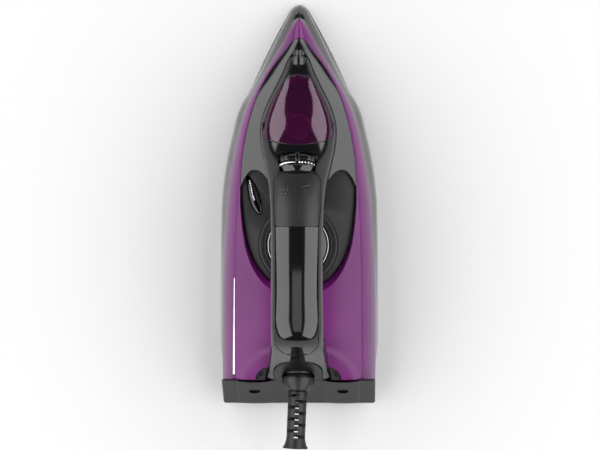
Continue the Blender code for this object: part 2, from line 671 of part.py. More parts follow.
def handle_levels(y, inset=0.0):
    """Half the handle's width at a station, and the heights of its top, its widest line and its underside."""
    top, middle, bottom = handle_top(y) - inset, handle_mid(y), gap_height(y, inset)
    if bottom > hood_seat(y) + 20:
        middle = max(middle, bottom + 0.4 * (top - bottom))
    return handle_w(y) - inset, top, min(middle, top - 1.5), bottom


def handle_section(y, inset=0.0):
    """One cross-section of the handle: an arched top on a squarer lower half."""
    width, top, middle, bottom = handle_levels(y, inset)
    in_gap = (bottom - hood_seat(y)) / (GAP_TOP - hood_seat(y))
    upper, lower = CROWN_POWER, 2.6 + 6 * (1 - min(max(in_gap, 0), 1))
    half = []
    for i in range(7):
        turn = math.pi / 2 * (1 - i / 6)
        half.append((width * math.cos(turn) ** (2 / upper), middle + (top - middle) * math.sin(turn) ** (2 / upper)))
    for i in range(1, 6):
        turn = math.pi / 2 * i / 5
        x = width * max(math.cos(turn), 0) ** (2 / lower)
        half.append((x, middle - (middle - bottom) * math.sin(turn) ** (2 / lower)))
    half[-1] = (0.0, half[-1][1])
    return [(x, y, z) for x, z in half] + [(-x, y, z) for x, z in reversed(half[1:-1])]


def handle_form(inset=0.0):
    """The whole handle with its bonnet and its rear spine, or the same drawn in, to hollow it."""
    middle, half = (GAP_FRONT + GAP_REAR) / 2, (GAP_FRONT - GAP_REAR) / 2 + inset
    shares = (1.0, 0.998, 0.985, 0.955, 0.9, 0.8, 0.6, 0.3)
    stations = [middle + half * s for s in shares] + [middle] + [middle - half * s for s in reversed(shares)]
    front = [sy(y) for y in (93, 89, 84, 75, 66, 56, 45, 34, 25, 15, 7, 0, -7, -13)]
    rear = [sy(y) for y in (-127, -131, -136, -142, -147, -151.4)]
    if inset:
        front[0] -= inset
        rear = [y + inset for y in rear]
    stations = front + stations + rear
    return loft("handle_form", [handle_section(y, inset) for y in stations])


def lid_outline(grow, notch=0.0):
    """The water lid's plan outline with its finger tabs, or its window with the notches that they swing up through."""
    tab = [(LID_TAB_FRONT + 0.6 + notch, 24.9), (LID_TAB_FRONT + notch, 26.2), (29.0, 26.2), (27.2, 24.6)]
    right = [(lid_w(sy(y)) + grow, sy(y)) for y in (74.2, 68, 62.7, 53.7, 44.5)]
    right = [(sx(6.6), LID_FRONT + grow)] + right
    right += [(sx(x) + grow, sy(y)) for y, x in tab]
    right += [(sx(15.0), sy(24.6) - grow), (sx(6.0), LID_REAR - grow)]
    return right + [(-x, y) for x, y in reversed(right)]


def knob_frame():
    """The steam knob's middle, and the direction of its axis, which points forward and down."""
    axis = Vector((0, math.cos(KNOB_TILT), -math.sin(KNOB_TILT)))
    up = Vector((0, math.sin(KNOB_TILT), math.cos(KNOB_TILT)))
    crown_y = sy(10.2)
    crown = Vector((0, crown_y, handle_top(crown_y)))
    return crown - up * (KNOB_R - KNOB_PROUD), axis, up


def arch_outline(grow):
    """The heel's tongue in (x, z): an arch round the cord's socket."""
    half, low, high = 18.0 + grow, HEEL_TOP - 6.0, 96.0 + grow
    right = [(half, low), (half, 70.0)]
    right += [(half * math.cos(t), 70.0 + (high - 70.0) * math.sin(t)) for t in (0.35, 0.7, 1.05, 1.35)]
    return right + [(-x, z) for x, z in reversed(right)]


def tongue(name, grow, outward, inward):
    """The tongue of the heel cover, which lies in the heel's plane."""
    rings = [[(x, heel_y(z) + away, z) for x, z in arch_outline(grow)] for away in (-outward, inward)]
    return loft(name, rings)


def knob_sector(name, grow, reach, turn):
    """The part of the drum that the knob fills, or sweeps if it is turned."""
    middle, axis, up = knob_frame()
    half = KNOB_LENGTH / 2 + grow
    angle = KNOB_HALF_ANGLE + turn
    count = 12
    rings = []
    for along in (-half, half):
        centre = middle + axis * along
        arc = [angle - 2 * angle * i / count for i in range(count + 1)]
        ring = [centre + up * reach * math.cos(a) + Vector((1, 0, 0)) * reach * math.sin(a) for a in arc]
        rings.append([*ring, centre - up * 1.0])
    return loft(name, rings)


def build_handle():
    """The handle's shell and everything cut from its form: cover, buttons and lid."""
    outer, inner = handle_form(), handle_form(WALL)
    blank = boolean(copy_of(outer, "handle_shell", "gloss_black"), inner, keep=True)

    sides = [BUTTON_REAR - GAP, *(sy(y) for y in (-52, -68, -84, -100, -112)), COVER_REAR + 12]
    window = [(GRIP_WINDOW_HALF, y) for y in sides]
    window += [(GRIP_WINDOW_HALF - 2.5, COVER_REAR + 5), (GRIP_WINDOW_HALF - 8, COVER_REAR)]
    window += [(-x, y) for x, y in reversed(window)]
    boolean(copy_of(blank, "handle_cover", "gloss_black"), prism("cover_cut", window, under(9.0), 180), "INTERSECT")
    grown = [(x + math.copysign(GAP, x), y + (GAP if y > BUTTON_REAR - 1 else -GAP)) for x, y in window]

    for name, side in (("steam_button", 1), ("spray_button", -1)):
        outline = [(side * x, y) for x, y in button_outline(0.0, GAP / 2)]
        button = boolean(copy_of(blank, name, "satin_black"), prism("button_cut", outline, under(7.5), 180), "INTERSECT")
        set_origin(button, (side * PUMP_X, PUMP_Y, handle_top(PUMP_Y)))
    lid = boolean(copy_of(blank, "fill_lid", "purple"), prism("lid_cut", lid_outline(0.0), 20, 180), "INTERSECT")

    middle, axis, up = knob_frame()
    outline = button_outline(GAP)
    cuts = [
        prism("cover_window", grown, under(10.0), 181),
        prism("button_window", [*outline, *[(-x, y) for x, y in reversed(outline)]], under(7.5 + PRESS_TRAVEL + 1.5), 181),
        prism("lid_window", lid_outline(LID_GAP, LID_NOTCH), 45, 181),
        knob_sector("knob_window", 0.6, KNOB_R + 3.5, KNOB_TURN),
        rod("nozzle_seat", (0, NOZZLE_Y - 12, nozzle_z()), (0, NOZZLE_Y + 16, nozzle_z()), 6.1),
        tongue("tongue_window", GAP, 20, WALL + 2),
        ball("socket_room", BALL, SOCKET_R + GAP, across=24, rings=12),
    ]
    bored(blank, cuts)
    hinge = hinge_point()
    ends = [(side * 11.5, hinge.y, hinge.z) for side in (-1, 1)]
    rod("lid_hinge_pin", *ends, 0.8, "steel", sides=10)
    wide = [(side * 13.0, hinge.y, hinge.z) for side in (-1, 1)]
    boolean(lid, rod("lid_bore", *wide, 0.8 + RUNNING, sides=10))
    boolean(blank, rod("pin_bore", *wide, 0.8 + 0.1, sides=10))
    set_origin(lid, hinge)
    bpy.data.objects.remove(outer)
    bpy.data.objects.remove(inner)


def under(depth):
    """A rail that runs a fixed depth under the handle's top."""
    return lambda y: handle_top(y) - depth


def button_outline(grow, inner=None):
    """The right-hand button's plan outline, rounded at its front corner. Without an inner edge it stays open there."""
    half, front, rear = BUTTON_HALF + grow, BUTTON_FRONT + grow, BUTTON_REAR - grow
    corner = [(half, front - 6.5), (half - 1.2, front - 3.2), (half - 4.0, front - 1.0), (half - 8.0, front)]
    side = [(half - 1.0, rear), (half, rear + 12), *corner]
    return [*side, (1.0, front + 0.4)] if inner is None else [*side, (inner, front + 0.4), (inner, rear)]


def nozzle_z():
    """Height of the spray nozzle's axis."""
    return handle_top(NOZZLE_Y) - 4.0


def hinge_point():
    """The water lid's hinge, just under the surface at the lid's front edge."""
    y = LID_FRONT - 1.5
    return Vector((0, y, handle_top(y) - LID_HINGE_DEPTH))


def build_nozzle():
    """The spray nozzle: a round body in the bonnet's tip, and its jet."""
    z = nozzle_z()
    rod("nozzle_body", (0, NOZZLE_Y - 1, z), (0, NOZZLE_Y + 5.6, z), 5.7, "gloss_black", sides=20)
    rod("nozzle_tip", (0, NOZZLE_Y + 5.6 + GAP, z), (0, NOZZLE_Y + 10.2, z), 3.0, "gloss_black", 2.3, sides=16)


def build_inlet():
    """The tray under the water lid, and the spout that leads down into the tank."""
    depth, thickness = 9.0, 1.5
    rings = []
    for y in (69, 62, 55, 46, 37, 30, 26):
        y = sy(y)
        half = max(lid_w(y) - 4.2, 3.0)
        z = handle_top(y) - depth
        drop = 0.1 * half
        rings.append([(0, y, z), (half, y, z - drop), (half, y, z - drop - thickness), (0, y, z - thickness),
                      (-half, y, z - drop - thickness), (-half, y, z - drop)])
    tray = loft("inlet_tray", rings, "gloss_black")
    boolean(tray, rod("spout_hole", (0, SPOUT_Y, 50), (0, SPOUT_Y, 100), SPOUT_R + GAP, sides=20))
    spout = tube("fill_spout", SPOUT_R, SPOUT_BORE_R, FLOOR_Z + 12, 100.0, 0, SPOUT_Y, "smoke", 20)
    crown = plan_outline(lambda y: 15.0, SPOUT_Y + 14, SPOUT_Y - 14, 0.0, 0.0, 6)
    boolean(spout, prism("spout_crown", crown, under(depth - 1.5), 120))


def build_pumps():
    """The spray pump and the steam-burst pump, side by side under their buttons."""
    for kind, side in (("spray", -1), ("steam", 1)):
        x, y = side * PUMP_X, PUMP_Y
        top = pump_reach()
        mouth, bottom = top - PUMP_REACH, top - PUMP_REACH - PUMP_LENGTH
        tube(kind + "_pump_cylinder", PUMP_R, PUMP_BORE_R, bottom, mouth, x, y, "white_plastic")
        piston = rod(kind + "_pump_piston", (x, y, bottom + 8), (x, y, top), ROD_R, "white_plastic", sides=12)
        head = rod("head", (x, y, bottom + 8), (x, y, bottom + 13), PUMP_BORE_R - RUNNING, sides=14)
        boolean(piston, head, "UNION")
        plate = rod("plate", (x, y, top - 1.4), (x, y, top), PUMP_R - 0.8, sides=14)
        boolean(piston, plate, "UNION")
        set_origin(piston, (x, y, mouth))
        spring_on(kind + "_pump_spring", x, y, mouth + GAP, top - 1.4 - GAP, 4)


def pump_reach():
    """Height of the pistons' tops, just under the buttons."""
    return handle_section_height(PUMP_Y + PUMP_R, PUMP_X) - WALL - 2.6


def handle_section_height(y, x):
    """Height of the handle's outer surface over a plan point."""
    width, top, middle, _ = handle_levels(y)
    return middle + (top - middle) * (1 - (abs(x) / width) ** CROWN_POWER) ** (1 / CROWN_POWER)


def build_hoses():
    """The hoses from the pumps to the nozzle and to the steam chamber."""
    z = nozzle_z()
    low = pump_reach() - PUMP_REACH - PUMP_LENGTH - GAP
    spray = [(-PUMP_X, PUMP_Y, low), (-PUMP_X - 3, PUMP_Y + 3, low - 8), (-15.5, sy(8), 63), (-17.5, sy(30), 60),
             (-14.0, sy(52), 51), (-6.0, sy(70), 45.5), (0, NOZZLE_Y - 8, z - 1.0), (0, NOZZLE_Y - 2.2, z)]
    wire("spray_tube", smooth_path(spray), 1.9, "smoke")
    steam = [(PUMP_X, PUMP_Y, low), (PUMP_X + 2, PUMP_Y + 2, low - 10), (sx(14), sy(-2), 50), (sx(14), sy(0), 36),
             (sx(14), sy(0), 19.8)]
    wire("steam_tube", smooth_path(steam), 1.9, "smoke")


def build_knob():
    """The steam regulator: a saddle that rocks about the handle's axis, its pivot pin, and the drip valve that it lifts."""
    middle, axis, up = knob_frame()
    knob = copy_of(knob_sector("knob_blank", 0.0, KNOB_R, 0.0), "steam_knob", "gloss_black")
    count = 14
    half = KNOB_LENGTH / 2
    hollow_rings = []
    for along in (-half - 2, half - WALL):
        centre = middle + axis * along
        turns = [2 * math.pi * i / (2 * count) for i in range(2 * count)]
        reach = KNOB_R - KNOB_SHELL
        hollow_rings.append([centre + up * reach * math.cos(a) + Vector((1, 0, 0)) * reach * math.sin(a) for a in turns])
    boolean(knob, loft("knob_hollow", hollow_rings))
    hub_r, pin_r = 4.5, 1.8
    front = middle + axis * half
    boolean(knob, rod("hub", front - axis * WALL, front + axis * 1.0, hub_r, sides=16), "UNION")
    boolean(knob, rod("pin_hole", front - axis * 6, front + axis * 6, pin_r + RUNNING, sides=16))
    top = middle + up * (KNOB_R - 1.0)
    fin = box("fin", (0, 0, 0), (3.0, 9.0, 4.0))
    turn = Matrix.Rotation(-KNOB_TILT, 4, "X")
    fin.data.transform(Matrix.Translation((top + axis * 2.0) * MM) @ turn)
    boolean(knob, fin, "UNION")
    set_origin(knob, middle)
    rod("knob_pivot_pin", front - axis * 5.0, front + axis * 3.5, pin_r, "steel", sides=14)
    rod_top = (front - up * (hub_r + 1.5)).z - 2.0
    valve = rod("valve_rod", (0, ROD_Y, FLOOR_Z + 1.5), (0, ROD_Y, rod_top), ROD_R, "brass", sides=12)
    set_origin(valve, (0, ROD_Y, FLOOR_Z))
    tube("valve_seat", 4.0, ROD_R + RUNNING, 20.5, FLOOR_Z + 6, 0, ROD_Y, "silicone")


# ---------------------------------------------------------------------------------------------- dial


def build_dial():
    """The thermostat dial: its rim, its raised cap with a bright ring, and the shaft down to the thermostat."""
    low = DECK_TOP + GAP
    rim = turned(
        "thermostat_dial",
        [(DIAL_R - 1.5, DIAL_TOP), (DIAL_R, DIAL_TOP - 2), (DIAL_R, low + 1), (DIAL_R - 1, low), (SHAFT_R + 0.15, low),
         (SHAFT_R + 0.15, DIAL_TOP - 2.5), (DIAL_CAP_R + 2 * DIAL_TRIM, DIAL_TOP - 2.5), (DIAL_CAP_R + 3, DIAL_TOP)],
        (0, DIAL_Y, 0), "satin_black", 36)
    base = DIAL_TOP - 2.5 + GAP
    trim = turned(
        "dial_trim_ring",
        [(DIAL_CAP_R + DIAL_TRIM + 0.3, DIAL_TOP + 1.0), (DIAL_CAP_R + DIAL_TRIM + 0.3, base), (DIAL_CAP_R + 0.3, base),
         (DIAL_CAP_R + 0.3, DIAL_TOP + 1.0)], (0, DIAL_Y, 0), "chrome", 36)
    cap = turned(
        "dial_cap",
        [(DIAL_CAP_R - 3, DIAL_CAP_TOP - 0.5), (DIAL_CAP_R - 0.8, DIAL_CAP_TOP - 2), (DIAL_CAP_R, DIAL_TOP), (DIAL_CAP_R, base),
         (SHAFT_R + 0.15, base), (SHAFT_R + 0.15, DIAL_CAP_TOP - 4), (0.6, DIAL_CAP_TOP - 4), (0.6, DIAL_CAP_TOP)],
        (0, DIAL_Y, 0), "gloss_black", 36)
    shaft = rod("dial_shaft", (0, DIAL_Y, FLOOR_Z - 1.0), (0, DIAL_Y, DIAL_CAP_TOP - 4 - GAP), SHAFT_R, "white_plastic")
    for piece in (rim, trim, cap, shaft):
        set_origin(piece, (0, DIAL_Y, DECK_TOP))


# ---------------------------------------------------------------------------------------------- heel and cord outlet


def heel_screw_line(side):
    """Where one of the heel's screws meets its face, and the way out of it."""
    out = Vector((0, -1, HEEL_TILT)).normalized()
    return Vector((side * HEEL_SCREW_X, heel_y(HEEL_SCREW_Z), HEEL_SCREW_Z)), out


def build_heel():
    """The heel that the iron stands on, with its tongue, the ball's retainer, the terminal block and the screws."""

    def sections(inset, front):
        rings = []
        depth = BODY_REAR - GAP - HEEL_REAR
        for share in (0.0, 0.25, 0.5, 0.75, 1.0):
            y = BODY_REAR - GAP - share * (depth - 1.6 * inset)
            if share == 0:
                y += front
            top = HEEL_TOP - (BODY_REAR - GAP - y) / HEEL_TILT if share else HEEL_TOP - 0.2
            top = max(top - 1.0 * inset, HEEL_FOOT + 2.0 - inset)
            low = HEEL_FOOT + (8.0 * (1 - share)) + inset if share < 1 else HEEL_FOOT + inset
            low = min(low, top - 0.4)
            wide = housing_w(BODY_REAR) - 0.5 * share - inset
            shoulder = max(top - 8.0 * (1 - share), low + 0.2)
            half = [(0, top), (0.8 * crease_w(BODY_REAR), top), (crease_w(BODY_REAR) + 4 - inset, top - 0.05),
                    (wide, shoulder), (wide, low), (0, low)]
            rings.append([(x, y, z) for x, z in half] + [(-x, y, z) for x, z in reversed(half[1:-1])])
        return rings

    cover = loft("heel_cover", sections(0.0, 0.0), "gloss_black")
    boolean(cover, loft("heel_hollow", sections(WALL, 3.0)))
    boolean(cover, tongue("tongue_body", 0.0, 0.0, WALL), "UNION")
    boolean(cover, rod("socket", BALL - Vector((0, 14, 0)), BALL + Vector((0, 14, 0)), SOCKET_R, sides=28))
    for name, side in (("left", -1), ("right", 1)):
        head, out = heel_screw_line(side)
        boolean(cover, rod("bore", head + out * 3, head - out * 5, SCREW_R + 0.3, sides=12))
        boolean(cover, rod("sink", head + out * 3, head - out * 1.2, 2 * SCREW_R + 0.3, sides=16))
        screw = rod("heel_screw_" + name, head - out * 0.9, head - out * 12, SCREW_R, "steel", sides=12)
        boolean(screw, rod("head", head - out * 0.2, head - out * 1.0, 2 * SCREW_R, sides=16), "UNION")
    seat_front, seat_rear = BALL.y + 6.2, BALL.y + SOCKET_R + 2.2
    retainer = rod("ball_retainer", (0, seat_front, BALL_Z), (0, seat_rear, BALL_Z), SOCKET_R - GAP, "satin_black", sides=24)
    boolean(retainer, ball("seat", BALL, SOCKET_R - 0.1, across=24, rings=12))
    boolean(retainer, rod("cord_way", BALL, BALL + Vector((0, 30, 0)), 6.5, sides=20))
    block_y, block_z = sy(-137.0), 36.0
    block = box("terminal_block", (0, block_y, block_z), (30, 10, 11), "white_plastic")
    for x in (-9, 0, 9):
        boolean(block, rod("terminal", (x, block_y - 8, block_z), (x, block_y + 8, block_z), 2.2, sides=10))


def build_cord_outlet():
    """The two-axis swivel, a ring that yaws with a ball that pitches in it, and the slotted guard on the ball."""
    inner, outer = BALL_R + RUNNING, BALL_R + RUNNING + SWIVEL_RING
    turns = [math.asin(SWIVEL_HALF / outer) * i / 3 for i in range(-3, 4)]
    zone = [(outer * math.cos(t), outer * math.sin(t)) for t in turns]
    zone += [(inner * math.cos(t), inner * math.sin(t)) for t in reversed(turns)]
    ring = turned("swivel_ring", zone, BALL, "gloss_black", 28, (0, 1, 0))
    swivel = ball("cord_ball", BALL, BALL_R, "satin_black", 28, 14)
    boolean(swivel, rod("bore", BALL - Vector((0, 15, 0)), BALL + Vector((0, 15, 0)), GUARD_BORE_R, sides=16))
    neck_y = -math.sqrt(BALL_R ** 2 - GUARD_R ** 2) + 1.2
    boolean(swivel, rod("flat", BALL + Vector((0, neck_y, 0)), BALL - Vector((0, 20, 0)), GUARD_R + 1.5, sides=20))
    start = BALL.y + neck_y - GAP
    end = start - GUARD_LENGTH - 2.0
    bell = end + 8.5
    profile = [(GUARD_R - 0.2, start), (GUARD_R, start - 1), (GUARD_R - 0.1, bell), (GUARD_R + 0.9, end + 4),
               (GUARD_BELL_R, end + 0.6), (GUARD_BELL_R - 0.6, end), (GUARD_BORE_R + 2.6, end), (GUARD_BORE_R, end + 5),
               (GUARD_BORE_R, start)]
    guard = turned("cord_guard", [(r, y) for r, y in profile], (BALL.x, 0, BALL_Z), "rubber", 20, (0, 1, 0))
    first, pitch = start - 3.5, (start - 3.5 - bell - 0.5) / (GUARD_SLOTS - 1)
    for i in range(GUARD_SLOTS):
        side = -1 if i % 2 == 0 else 1
        reach = GUARD_R + 4.0
        centre = (BALL.x + side * (reach / 2 - 1.6), first - pitch * i, BALL_Z)
        for z in (-1, 1):
            tall = GUARD_R * 0.78
            place = (centre[0], centre[1], BALL_Z + z * (tall / 2 + 1.4))
            boolean(guard, box("slot", place, (reach, SLOT_WIDTH, tall)))
    for piece in (ring, swivel, guard):
        set_origin(piece, BALL)
        piece.data.transform(Matrix.Rotation(GUARD_YAW, 4, "Z"))


def build_fairings():
    """The two small fairings between the handle's rear foot and the housing."""
    for name, side in (("left", -1), ("right", 1)):
        rings = []
        for station, wide, tall in ((-139.5, 1.0, 0.8), (-143, 4.0, 3.0), (-147, 6.4, 5.5), (-151.2, 7.4, 7.0)):
            y = sy(station)
            inner = handle_w(y) + 2 * GAP
            base = [body_height(y, inner + wide * share) + GAP for share in (0, 0.5, 1)]
            ring = [(inner, y, base[0]), (inner + wide / 2, y, base[1]), (inner + wide, y, base[2]),
                    (inner + 0.7 * wide, y, base[1] + 0.55 * tall), (inner, y, base[0] + tall)]
            rings.append([(side * x, b, c) for x, b, c in ring])
        loft("rear_fairing_" + name, rings, "gloss_black")


def build_wiring():
    """The three wires between the terminal block, the thermostat and the heating element."""
    y, z = sy(-137.0) + 5.0 + GAP, 36.0
    low = FLOOR_Z - 3.2
    routes = {
        "wire_live": ("red_wire", [(-9, y, z), (-9, y + 4.5, z - 2), (-12, sy(-123), low + 1), (-14, sy(-105), low - 1),
                                   (-13.5, sy(-80), low - 1), (-12.6, DIAL_Y, low - 0.5)]),
        "wire_neutral": ("blue_wire", [(9, y, z), (9, y + 4.5, z - 2), (12, sy(-124), low + 1), (14, sy(-112), low - 1),
                                       (15, sy(-100), low - 1)]),
        "wire_earth": ("green_wire", [(0, y, z), (0, y + 4.5, z - 2), (0, sy(-123), low + 1), (0, sy(-108), low - 1),
                                      (0, sy(-98), low - 1.5)]),
    }
    for name, (finish, route) in routes.items():
        wire(name, smooth_path(route), 1.1, finish)


def main():
    """Clears the scene and builds the iron from the sole up."""
    for old in list(bpy.data.objects):
        bpy.data.objects.remove(old)
    build_sole()
    build_skirt()
    build_tank_floor()
    build_body_shells()
    build_clean_valve()
    build_handle()
    build_nozzle()
    build_inlet()
    build_pumps()
    build_hoses()
    build_knob()
    build_dial()
    build_heel()
    build_cord_outlet()
    build_fairings()
    build_wiring()
    for made in collection("steam_iron").objects:
        if made.type == "MESH":
            made.data.shade_smooth()
            made.data.set_sharp_from_angle(angle=math.radians(35))


main()
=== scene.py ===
"""The looks of a purple and black steam iron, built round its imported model.

Each sub-assembly is a class that models its pieces and gives them their finish. Sizes are in
millimetres, and the last step of each piece turns them into metres. +Y points to the nose, +Z up
through the handle.
"""

import logging
import math
from collections.abc import Callable, Sequence
from dataclasses import dataclass, field
from enum import Enum

import bmesh
import bpy
import numpy as np
from mathutils import Matrix, Vector
from mathutils.bvhtree import BVHTree


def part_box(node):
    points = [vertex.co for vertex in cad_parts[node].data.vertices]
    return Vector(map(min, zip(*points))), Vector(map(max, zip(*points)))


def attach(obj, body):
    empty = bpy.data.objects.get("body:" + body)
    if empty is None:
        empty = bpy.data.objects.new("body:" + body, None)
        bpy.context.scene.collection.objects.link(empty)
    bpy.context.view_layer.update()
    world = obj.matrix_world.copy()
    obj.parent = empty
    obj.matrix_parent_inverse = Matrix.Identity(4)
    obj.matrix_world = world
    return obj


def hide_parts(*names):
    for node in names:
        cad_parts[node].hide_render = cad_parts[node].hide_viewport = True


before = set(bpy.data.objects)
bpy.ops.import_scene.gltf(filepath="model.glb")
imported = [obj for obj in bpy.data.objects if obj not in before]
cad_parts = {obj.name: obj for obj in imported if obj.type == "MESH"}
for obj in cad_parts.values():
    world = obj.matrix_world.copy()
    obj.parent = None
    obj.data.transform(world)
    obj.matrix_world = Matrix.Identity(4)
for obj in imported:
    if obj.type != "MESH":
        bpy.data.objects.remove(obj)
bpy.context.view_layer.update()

MM = 0.001
GAP = 0.3  # between two pieces that meet
WALL = 2.2  # moulded walls
CROWN_POWER = 2.35  # how square the handle's arched top is; 2 is an ellipse
GRIP_POWER = 4.5  # how square the finger gap is
ABOVE = 180.0  # a height over the whole iron, where cutters end
SIDE_POINTS = 110  # along each side of the recess and the deck
WELD = 1e-4  # points this close are one
Point = Sequence[float]
Pairs = list[tuple[float, float]]
log = logging.getLogger("steam_iron")


class Join(Enum):
    """How two solids are combined."""

    CUT = "DIFFERENCE"
    ADD = "UNION"
    SHARE = "INTERSECT"


def centre_of(node: str) -> Vector:
    """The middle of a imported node's box, in millimetres."""
    low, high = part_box(node)
    return (low + high) / 2 / MM


# ------------------------------------------------------------ rails and outlines


class Rail:
    """A smooth curve of half widths or heights along the iron, in millimetres."""

    STEP = 0.25

    def __init__(self, points: Pairs, soften: float = 1.2) -> None:
        """Runs the curve through its stations.

        Args:
            points: Stations along Y, each with its value. The curve doesn't overshoot them.
            soften: How far the curve's changes of slope are spread.
        """
        stations, values = np.array(sorted(points), float).T
        spans = np.diff(stations)
        steps = np.diff(values) / spans
        product = steps[:-1] * steps[1:]
        total = np.where(product > 0, steps[:-1] + steps[1:], 1.0)
        inside = np.where(product > 0, 2 * product / total, 0.0)
        slopes = np.concatenate([steps[:1], inside, steps[-1:]])
        self.grid = np.arange(stations[0], stations[-1] + self.STEP / 2, self.STEP)
        i = np.clip(np.searchsorted(stations, self.grid, "right") - 1, 0, len(spans) - 1)
        h = spans[i]
        t = np.clip((self.grid - stations[i]) / h, 0.0, 1.0)
        start = values[i] * (1 + 2 * t) * (1 - t) ** 2 + slopes[i] * h * t * (1 - t) ** 2
        end = values[i + 1] * t * t * (3 - 2 * t) + slopes[i + 1] * h * t * t * (t - 1)
        self.values = self._softened(start + end, soften)

    def _softened(self, values: np.ndarray, spread: float) -> np.ndarray:
        """The values under a bell-shaped average that keeps both ends.

        Args:
            values: The values on the grid.
            spread: The bell's standard deviation, in millimetres.

        Returns:
            As many values as were given.
        """
        reach = int(3 * spread / self.STEP)
        if reach < 1:
            return values
        bell = np.exp(-0.5 * (np.arange(-reach, reach + 1) * self.STEP / spread) ** 2)
        front = 2 * values[0] - values[reach:0:-1]
        rear = 2 * values[-1] - values[-2:-reach - 2:-1]
        return np.convolve(np.concatenate([front, values, rear]), bell / bell.sum(), "valid")

    def __call__(self, y: float) -> float:
        """The value at a station."""
        return float(np.interp(y, self.grid, self.values))


Width = Callable[[float], float]


def grown(points: Pairs, amount: float) -> Pairs:
    """A closed outline moved outwards along its normals.

    Args:
        points: The outline, clockwise or not.
        amount: How far outwards, or inwards if it is negative.

    Returns:
        As many points as were given.
    """
    here = np.array(points, float)
    before, after = np.roll(here, 1, 0), np.roll(here, -1, 0)
    a, b = here - before, after - here
    a /= np.maximum(np.linalg.norm(a, axis=1), 1e-9)[:, None]
    b /= np.maximum(np.linalg.norm(b, axis=1), 1e-9)[:, None]
    turn = np.sum(here[:, 0] * np.roll(here[:, 1], -1) - here[:, 1] * np.roll(here[:, 0], -1))
    side = 1.0 if turn > 0 else -1.0
    normal = np.stack([a[:, 1] + b[:, 1], -a[:, 0] - b[:, 0]], 1) * side
    normal /= np.maximum(np.linalg.norm(normal, axis=1), 1e-9)[:, None]
    square = np.maximum(np.sum(normal * np.stack([a[:, 1], -a[:, 0]], 1) * side, axis=1), 0.6)
    return [tuple(p) for p in here + normal * (amount / square)[:, None]]


def widened(ring: Sequence[Point], amount: float) -> list[Point]:
    """A ring moved outwards in plan, with its heights kept."""
    return [(x, y, p[2]) for (x, y), p in zip(grown([(p[0], p[1]) for p in ring], amount), ring)]


def plan(width: Width, front: float, rear: float, corner: float = 0.0, count: int = 60) -> Pairs:
    """A closed plan outline, the same on both sides of the iron.

    Args:
        width: Half width at a station.
        front: The foremost station.
        rear: The rearmost station.
        corner: Radius of the rear corners.
        count: Points along each side.

    Returns:
        The outline from the nose round the right side.
    """
    last = rear + corner
    right = []
    for i in range(count + 1):
        y = front - (front - last) * (1 - math.cos(math.pi * i / count)) / 2
        right.append((width(y), y))
    turns = [math.pi / 2 * (i + 1) / 10 for i in range(10)] if corner else []
    right += [(width(last) - corner * (1 - math.cos(t)), last - corner * math.sin(t)) for t in turns]
    return right + [(-x, y) for x, y in reversed(right) if x > 0.01]


def dense(points: Sequence[Point], step: float = 1.5, close: bool = False) -> list[Vector]:
    """Points along a Catmull-Rom curve through the given ones.

    Args:
        points: The points to pass through.
        step: Rough distance between the new points.
        close: Whether the curve comes back to its first point.

    Returns:
        The curve's points.
    """
    places = [Vector(p) for p in points]
    if close:
        places = [places[-1], *places, places[0], places[1]]
    else:
        places = [2 * places[0] - places[1], *places, 2 * places[-1] - places[-2]]
    path = []
    for a, b, c, d in zip(places, places[1:], places[2:], places[3:]):
        count = max(2, round((c - b).length / step))
        for k in range(count):
            t = k / count
            path.append(0.5 * (2 * b + (c - a) * t + (2 * a - 5 * b + 4 * c - d) * t ** 2
                               + (3 * b - a - 3 * c + d) * t ** 3))
    return path if close else [*path, places[-2]]


# ------------------------------------------------------------ the iron's form


RIM: Pairs = [
    (103.6, 0), (103, 2.4), (101, 5.2), (97, 8.2), (81, 19.8), (67, 27.8), (56, 32.4), (45, 35.8),
    (30.6, 39.3), (11, 42.2), (-3, 43.0), (-15, 43.2)]  # where the recess's rim and the deck agree


